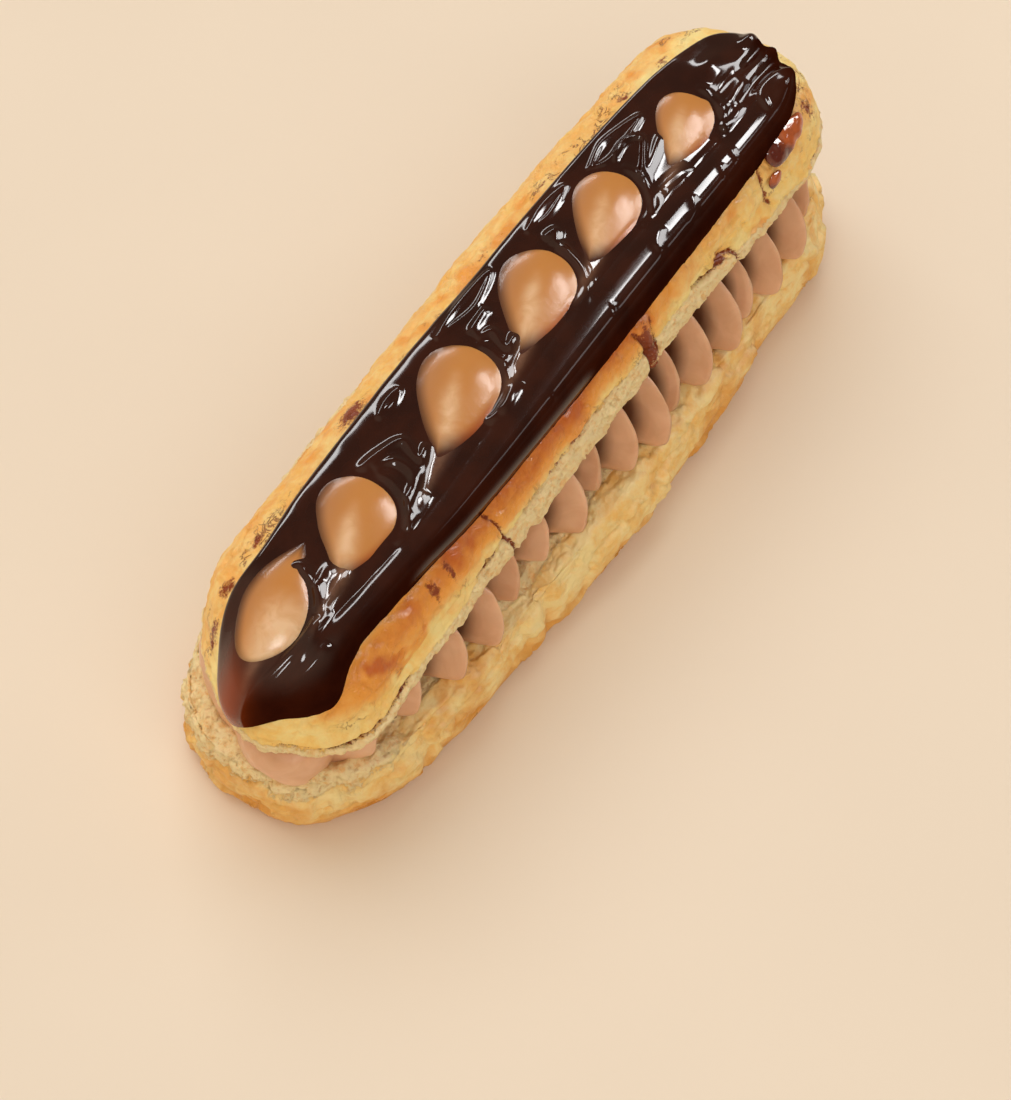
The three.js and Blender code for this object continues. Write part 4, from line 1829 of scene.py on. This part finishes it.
    def drop_marks(self, drop: Drop, a: Array, h: Array, reach: Array) -> dict[str, Array]:
        """Where a drop is milk-pale, tan, reddish or thin; on the drop turned to -X the pale part is
        partly a painted highlight.

        Args:
            drop: Its sizes.
            a: Place along its axis from the middle, positive to the round end.
            h: Place across, positive to its own left.
            reach: Share of the way from the middle to the outline.

        Returns:
            The marks by name.
        """
        to_back = drop.back * h
        line = to_back - 0.16 * a - 0.4
        width = 0.7 + 0.7 * eased(-a, -3, 5)
        streak = 0.85 * bell(line, width) * eased(-a, -2.5, 3.5)
        # On the drop turned to -X, the pale lower half is milk-coloured caramel and partly a painted
        # highlight.
        if drop.back < 0:
            streak = 0.95 * eased(h, -3.5, 1.0) * eased(a, -3.5, 2.0)
        sunk = eased(to_back - 0.5 * a, -3, 4)
        back_rim = eased(reach, 0.93 - 0.3 * sunk, 1.04) * (0.45 + 0.5 * sunk)
        tail = eased(-a, drop.length * 0.4, drop.length * 0.76) * 0.5
        return {
            "streak": streak,
            "upper": 0.8 * eased(line, -0.5, 5.5),
            "ember": eased(reach, 0.72, 1.0) * eased(-to_back, 0.0, 2.0) * eased(-a, -1.5, 3.0),
            "thin": np.clip(back_rim + tail, 0, 1),
        }

    def make_drop(self, number: int, drop: Drop, material: bpy.types.Material) -> bpy.types.Object:
        """Lay one teardrop on the icing.

        Args:
            number: Which drop, counted from the +X end.
            drop: Its sizes.
            material: Its finish.

        Returns:
            The new piece.
        """
        piece = build(f"caramel_teardrop_{number}", [self.drop_skin(drop)], material)
        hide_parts(f"caramel_drop_{number}")
        return piece

    def plain_thickness(self, x: Array, y: Array) -> Array:
        """Thickness without folds, bubbles and noise, which the drops lie on."""
        inset = (1 - self.track.share(x - self.centre_x, y - self.middle(x))) * self.half_width
        return np.sqrt(arch(1 - np.clip(inset / self.edge_round, 0, 1))) * self.relief(x, y)


@dataclass
class Syrup:
    """The red-brown chip beside the icing: a long lump and a small bead below it."""

    lid: ChouxLid
    x: float = 50.8
    y: float = -13.3
    length: float = 9.4
    width: float = 4.8
    thickness: float = 2.0
    waist: float = -1.0  # where the lump is nipped in, along its length
    bead: tuple[float, float] = (46.0, -15.0)
    bead_size: float = 3.0
    waves: tuple[tuple[float, int, float], ...] = (  # size, count and start of the outline's waves
        (0.09, 2, 0.8), (0.05, 3, 2.0), (0.03, 5, 0.0),
    )

    def lump(self, x: float, y: float, length: float, width: float, thickness: float) -> Skin:
        """A flattened ball with a lumpy outline, draped on the shoulder of the crust.

        Args:
            x: Its middle.
            y: Its middle.
            length: Size along the eclair.
            width: Size across it.
            thickness: Size up from the crust.

        Returns:
            The surface.
        """
        around, rings = 96, 40
        angle = np.arange(around) / around * 2 * math.pi
        lat = np.linspace(-math.pi / 2, math.pi / 2, rings)[:, None]
        wobble = 1 + sum(size * np.sin(count * angle + start) for size, count, start in self.waves)
        ax = np.cos(lat) * np.cos(angle) * wobble * length / 2
        ay = np.cos(lat) * np.sin(angle) * wobble * width / 2
        centre = self.lid.on_crust(np.array([x]), np.array([y]), np.array([0.35 * thickness]))[0]
        slope_x, slope_y = self.lid.slopes(x, y)
        normal = np.array([-slope_x, -slope_y, 1.0])
        normal /= np.linalg.norm(normal)
        tangent = np.array([1.0, 0.0, slope_x])
        tangent /= np.linalg.norm(tangent)
        across = np.cross(normal, tangent)
        up = np.sin(lat) * thickness / 2 + 0 * ax
        points = centre + ax[..., None] * tangent + ay[..., None] * across + up[..., None] * normal
        skin = Skin(points, {"light": eased(ax + 0.5 * ay, self.waist - 1.0, self.waist + 1.2)})
        share = np.cos(lat) * min(1.0, length / self.length * 1.4)
        dent = 0.7 * bell(ax - self.waist, 0.8) * np.maximum(np.sin(lat), 0)
        skin.push((0.45 * rough(skin.rings.copy(), 2.4, 401, 2) - dent) * share, hold=1)
        return skin

    def make(self, material: bpy.types.Material) -> bpy.types.Object:
        """Lay the lump and the bead as one piece.

        Args:
            material: Its finish.

        Returns:
            The new piece.
        """
        skins = [
            self.lump(self.x, self.y, self.length, self.width, self.thickness),
            self.lump(*self.bead, self.bead_size, 0.8 * self.bead_size, 0.4 * self.bead_size),
        ]
        piece = build("syrup_chip", skins, material)
        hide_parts("caramel_chip")
        return piece


# ---------------------------------------------------------------------------------------------
# The stage


@dataclass(frozen=True)
class Lamp:
    """A soft rectangular light that faces the eclair."""

    name: str
    towards: tuple[float, float, float]  # direction from the eclair to the lamp
    distance: float  # metres
    size: tuple[float, float]  # metres
    power: float
    roll: float = 0.0  # turn about its own axis, degrees
    reach: Reach = Reach.SHINE

    def make(self) -> None:
        """Hang the lamp."""
        data = bpy.data.lights.new(self.name, "AREA")
        data.shape = "RECTANGLE"
        data.size, data.size_y = self.size
        data.energy = self.power
        lamp = bpy.data.objects.new(self.name, data)
        way = Vector(self.towards).normalized()
        lamp.location = way * self.distance
        turn = way.to_track_quat("Z", "Y").to_matrix().to_4x4()
        lamp.rotation_euler = (turn @ Matrix.Rotation(math.radians(self.roll), 4, "Z")).to_euler()
        lamp.visible_diffuse = self.reach is Reach.SHADE
        lamp.visible_glossy = self.reach is Reach.SHINE
        bpy.context.collection.objects.link(lamp)


@dataclass(frozen=True)
class Stage:
    """Floor, lights, surroundings and camera."""

    floor_size: float = 6.0
    ambient: float = 0.66  # on the side of the table where the camera stands
    ambient_far: float = 0.24  # on the far side, which the icing mirrors
    ambient_tint: Colour = (255, 234, 204)
    fade: tuple[float, float] = (-0.15, 0.2)  # x of the direction, from the near side to the far
    target: tuple[float, float, float] = (-0.0145, -0.0060, 0.0)
    azimuth: float = -56.0
    elevation: float = 60.0
    distance: float = 0.42
    lens: float = 87.05
    lamps: tuple[Lamp, ...] = (
        Lamp("window", (0.25, 0.42, 0.87), 5.0, (4.6, 3.8), 136.0, reach=Reach.SHADE),
        Lamp("side", (0.80, -0.40, 0.45), 4.0, (2.0, 1.5), 9.0, reach=Reach.SHADE),
        Lamp("fill", (-0.30, -0.50, 0.81), 5.0, (4.0, 3.0), 42.0, reach=Reach.SHADE),
        Lamp("strip_right", (0.68, -0.33, 0.66), 2.5, (1.2, 0.9), 50.0, 20.0),
        Lamp("strip_back", (0.41, 0.72, 0.50), 2.5, (1.3, 0.24), 13.0),
        Lamp("strip_roll", (0.50, -0.08, 0.86), 2.5, (1.0, 0.24), 24.0),
        Lamp("strip_low", (0.40, -0.80, 0.45), 2.5, (0.5, 0.2), 1.4),
        Lamp("strip_left", (-0.42, -0.06, 0.90), 2.5, (0.6, 0.4), 14.0),
    )

    def make(self, floor: bpy.types.Material) -> None:
        """Lay the floor, hang the lamps, and place the camera.

        Args:
            floor: The floor's finish.
        """
        half = self.floor_size / 2
        mesh = bpy.data.meshes.new("table")
        corners = [(-half, -half, 0), (half, -half, 0), (half, half, 0), (-half, half, 0)]
        mesh.from_pydata(corners, [], [(0, 1, 2, 3)])
        mesh.materials.append(floor)
        table = bpy.data.objects.new("table", mesh)
        bpy.context.collection.objects.link(table)
        for lamp in self.lamps:
            lamp.make()
        world = bpy.data.worlds.new("soft_room")
        world.use_nodes = True
        nodes, links = world.node_tree.nodes, world.node_tree.links
        back = nodes["Background"]
        back.inputs["Color"].default_value = linear(self.ambient_tint)
        axes = nodes.new("ShaderNodeSeparateXYZ")
        links.new(nodes.new("ShaderNodeTexCoord").outputs["Generated"], axes.inputs[0])
        change = nodes.new("ShaderNodeMapRange")
        change.interpolation_type = "SMOOTHSTEP"
        links.new(axes.outputs["X"], change.inputs[0])
        for k, number in enumerate((*self.fade, self.ambient, self.ambient_far)):
            change.inputs[k + 1].default_value = number
        links.new(change.outputs[0], back.inputs["Strength"])
        bpy.context.scene.world = world
        bpy.context.scene.view_settings.view_transform = "Standard"
        self.camera()

    def camera(self) -> None:
        """Place the camera on the bearing and elevation, looking at the target."""
        azimuth, elevation = math.radians(self.azimuth), math.radians(self.elevation)
        flat = math.cos(elevation)
        back = Vector((math.sin(azimuth) * flat, -math.cos(azimuth) * flat, math.sin(elevation)))
        data = bpy.data.cameras.new("camera")
        data.lens = self.lens
        camera = bpy.data.objects.new("camera", data)
        camera.location = Vector(self.target) + back * self.distance
        camera.rotation_euler = (-back).to_track_quat("-Z", "Y").to_euler()
        bpy.context.collection.objects.link(camera)
        bpy.context.scene.camera = camera


def main() -> None:
    """Load the frame, build each piece round it, and set the stage."""
    logging.basicConfig(level=logging.INFO, format="%(message)s")
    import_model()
    base = ChouxBase.from_frame()
    base.make(BASE_FINISH.material())
    lid = ChouxLid.from_frame()
    lid.make(LID_FINISH.material())
    CreamRope.from_frame(base, lid).make(CreamFinish().material())
    icing = Icing(lid)
    icing.make(IcingFinish().material())
    caramel = CaramelFinish().material()
    for number, drop in enumerate(icing.drops, start=1):
        icing.make_drop(number, drop, caramel)
    Syrup(lid).make(SyrupFinish().material())
    Stage().make(FloorFinish().material())


if __name__ == "__main__":
    main()
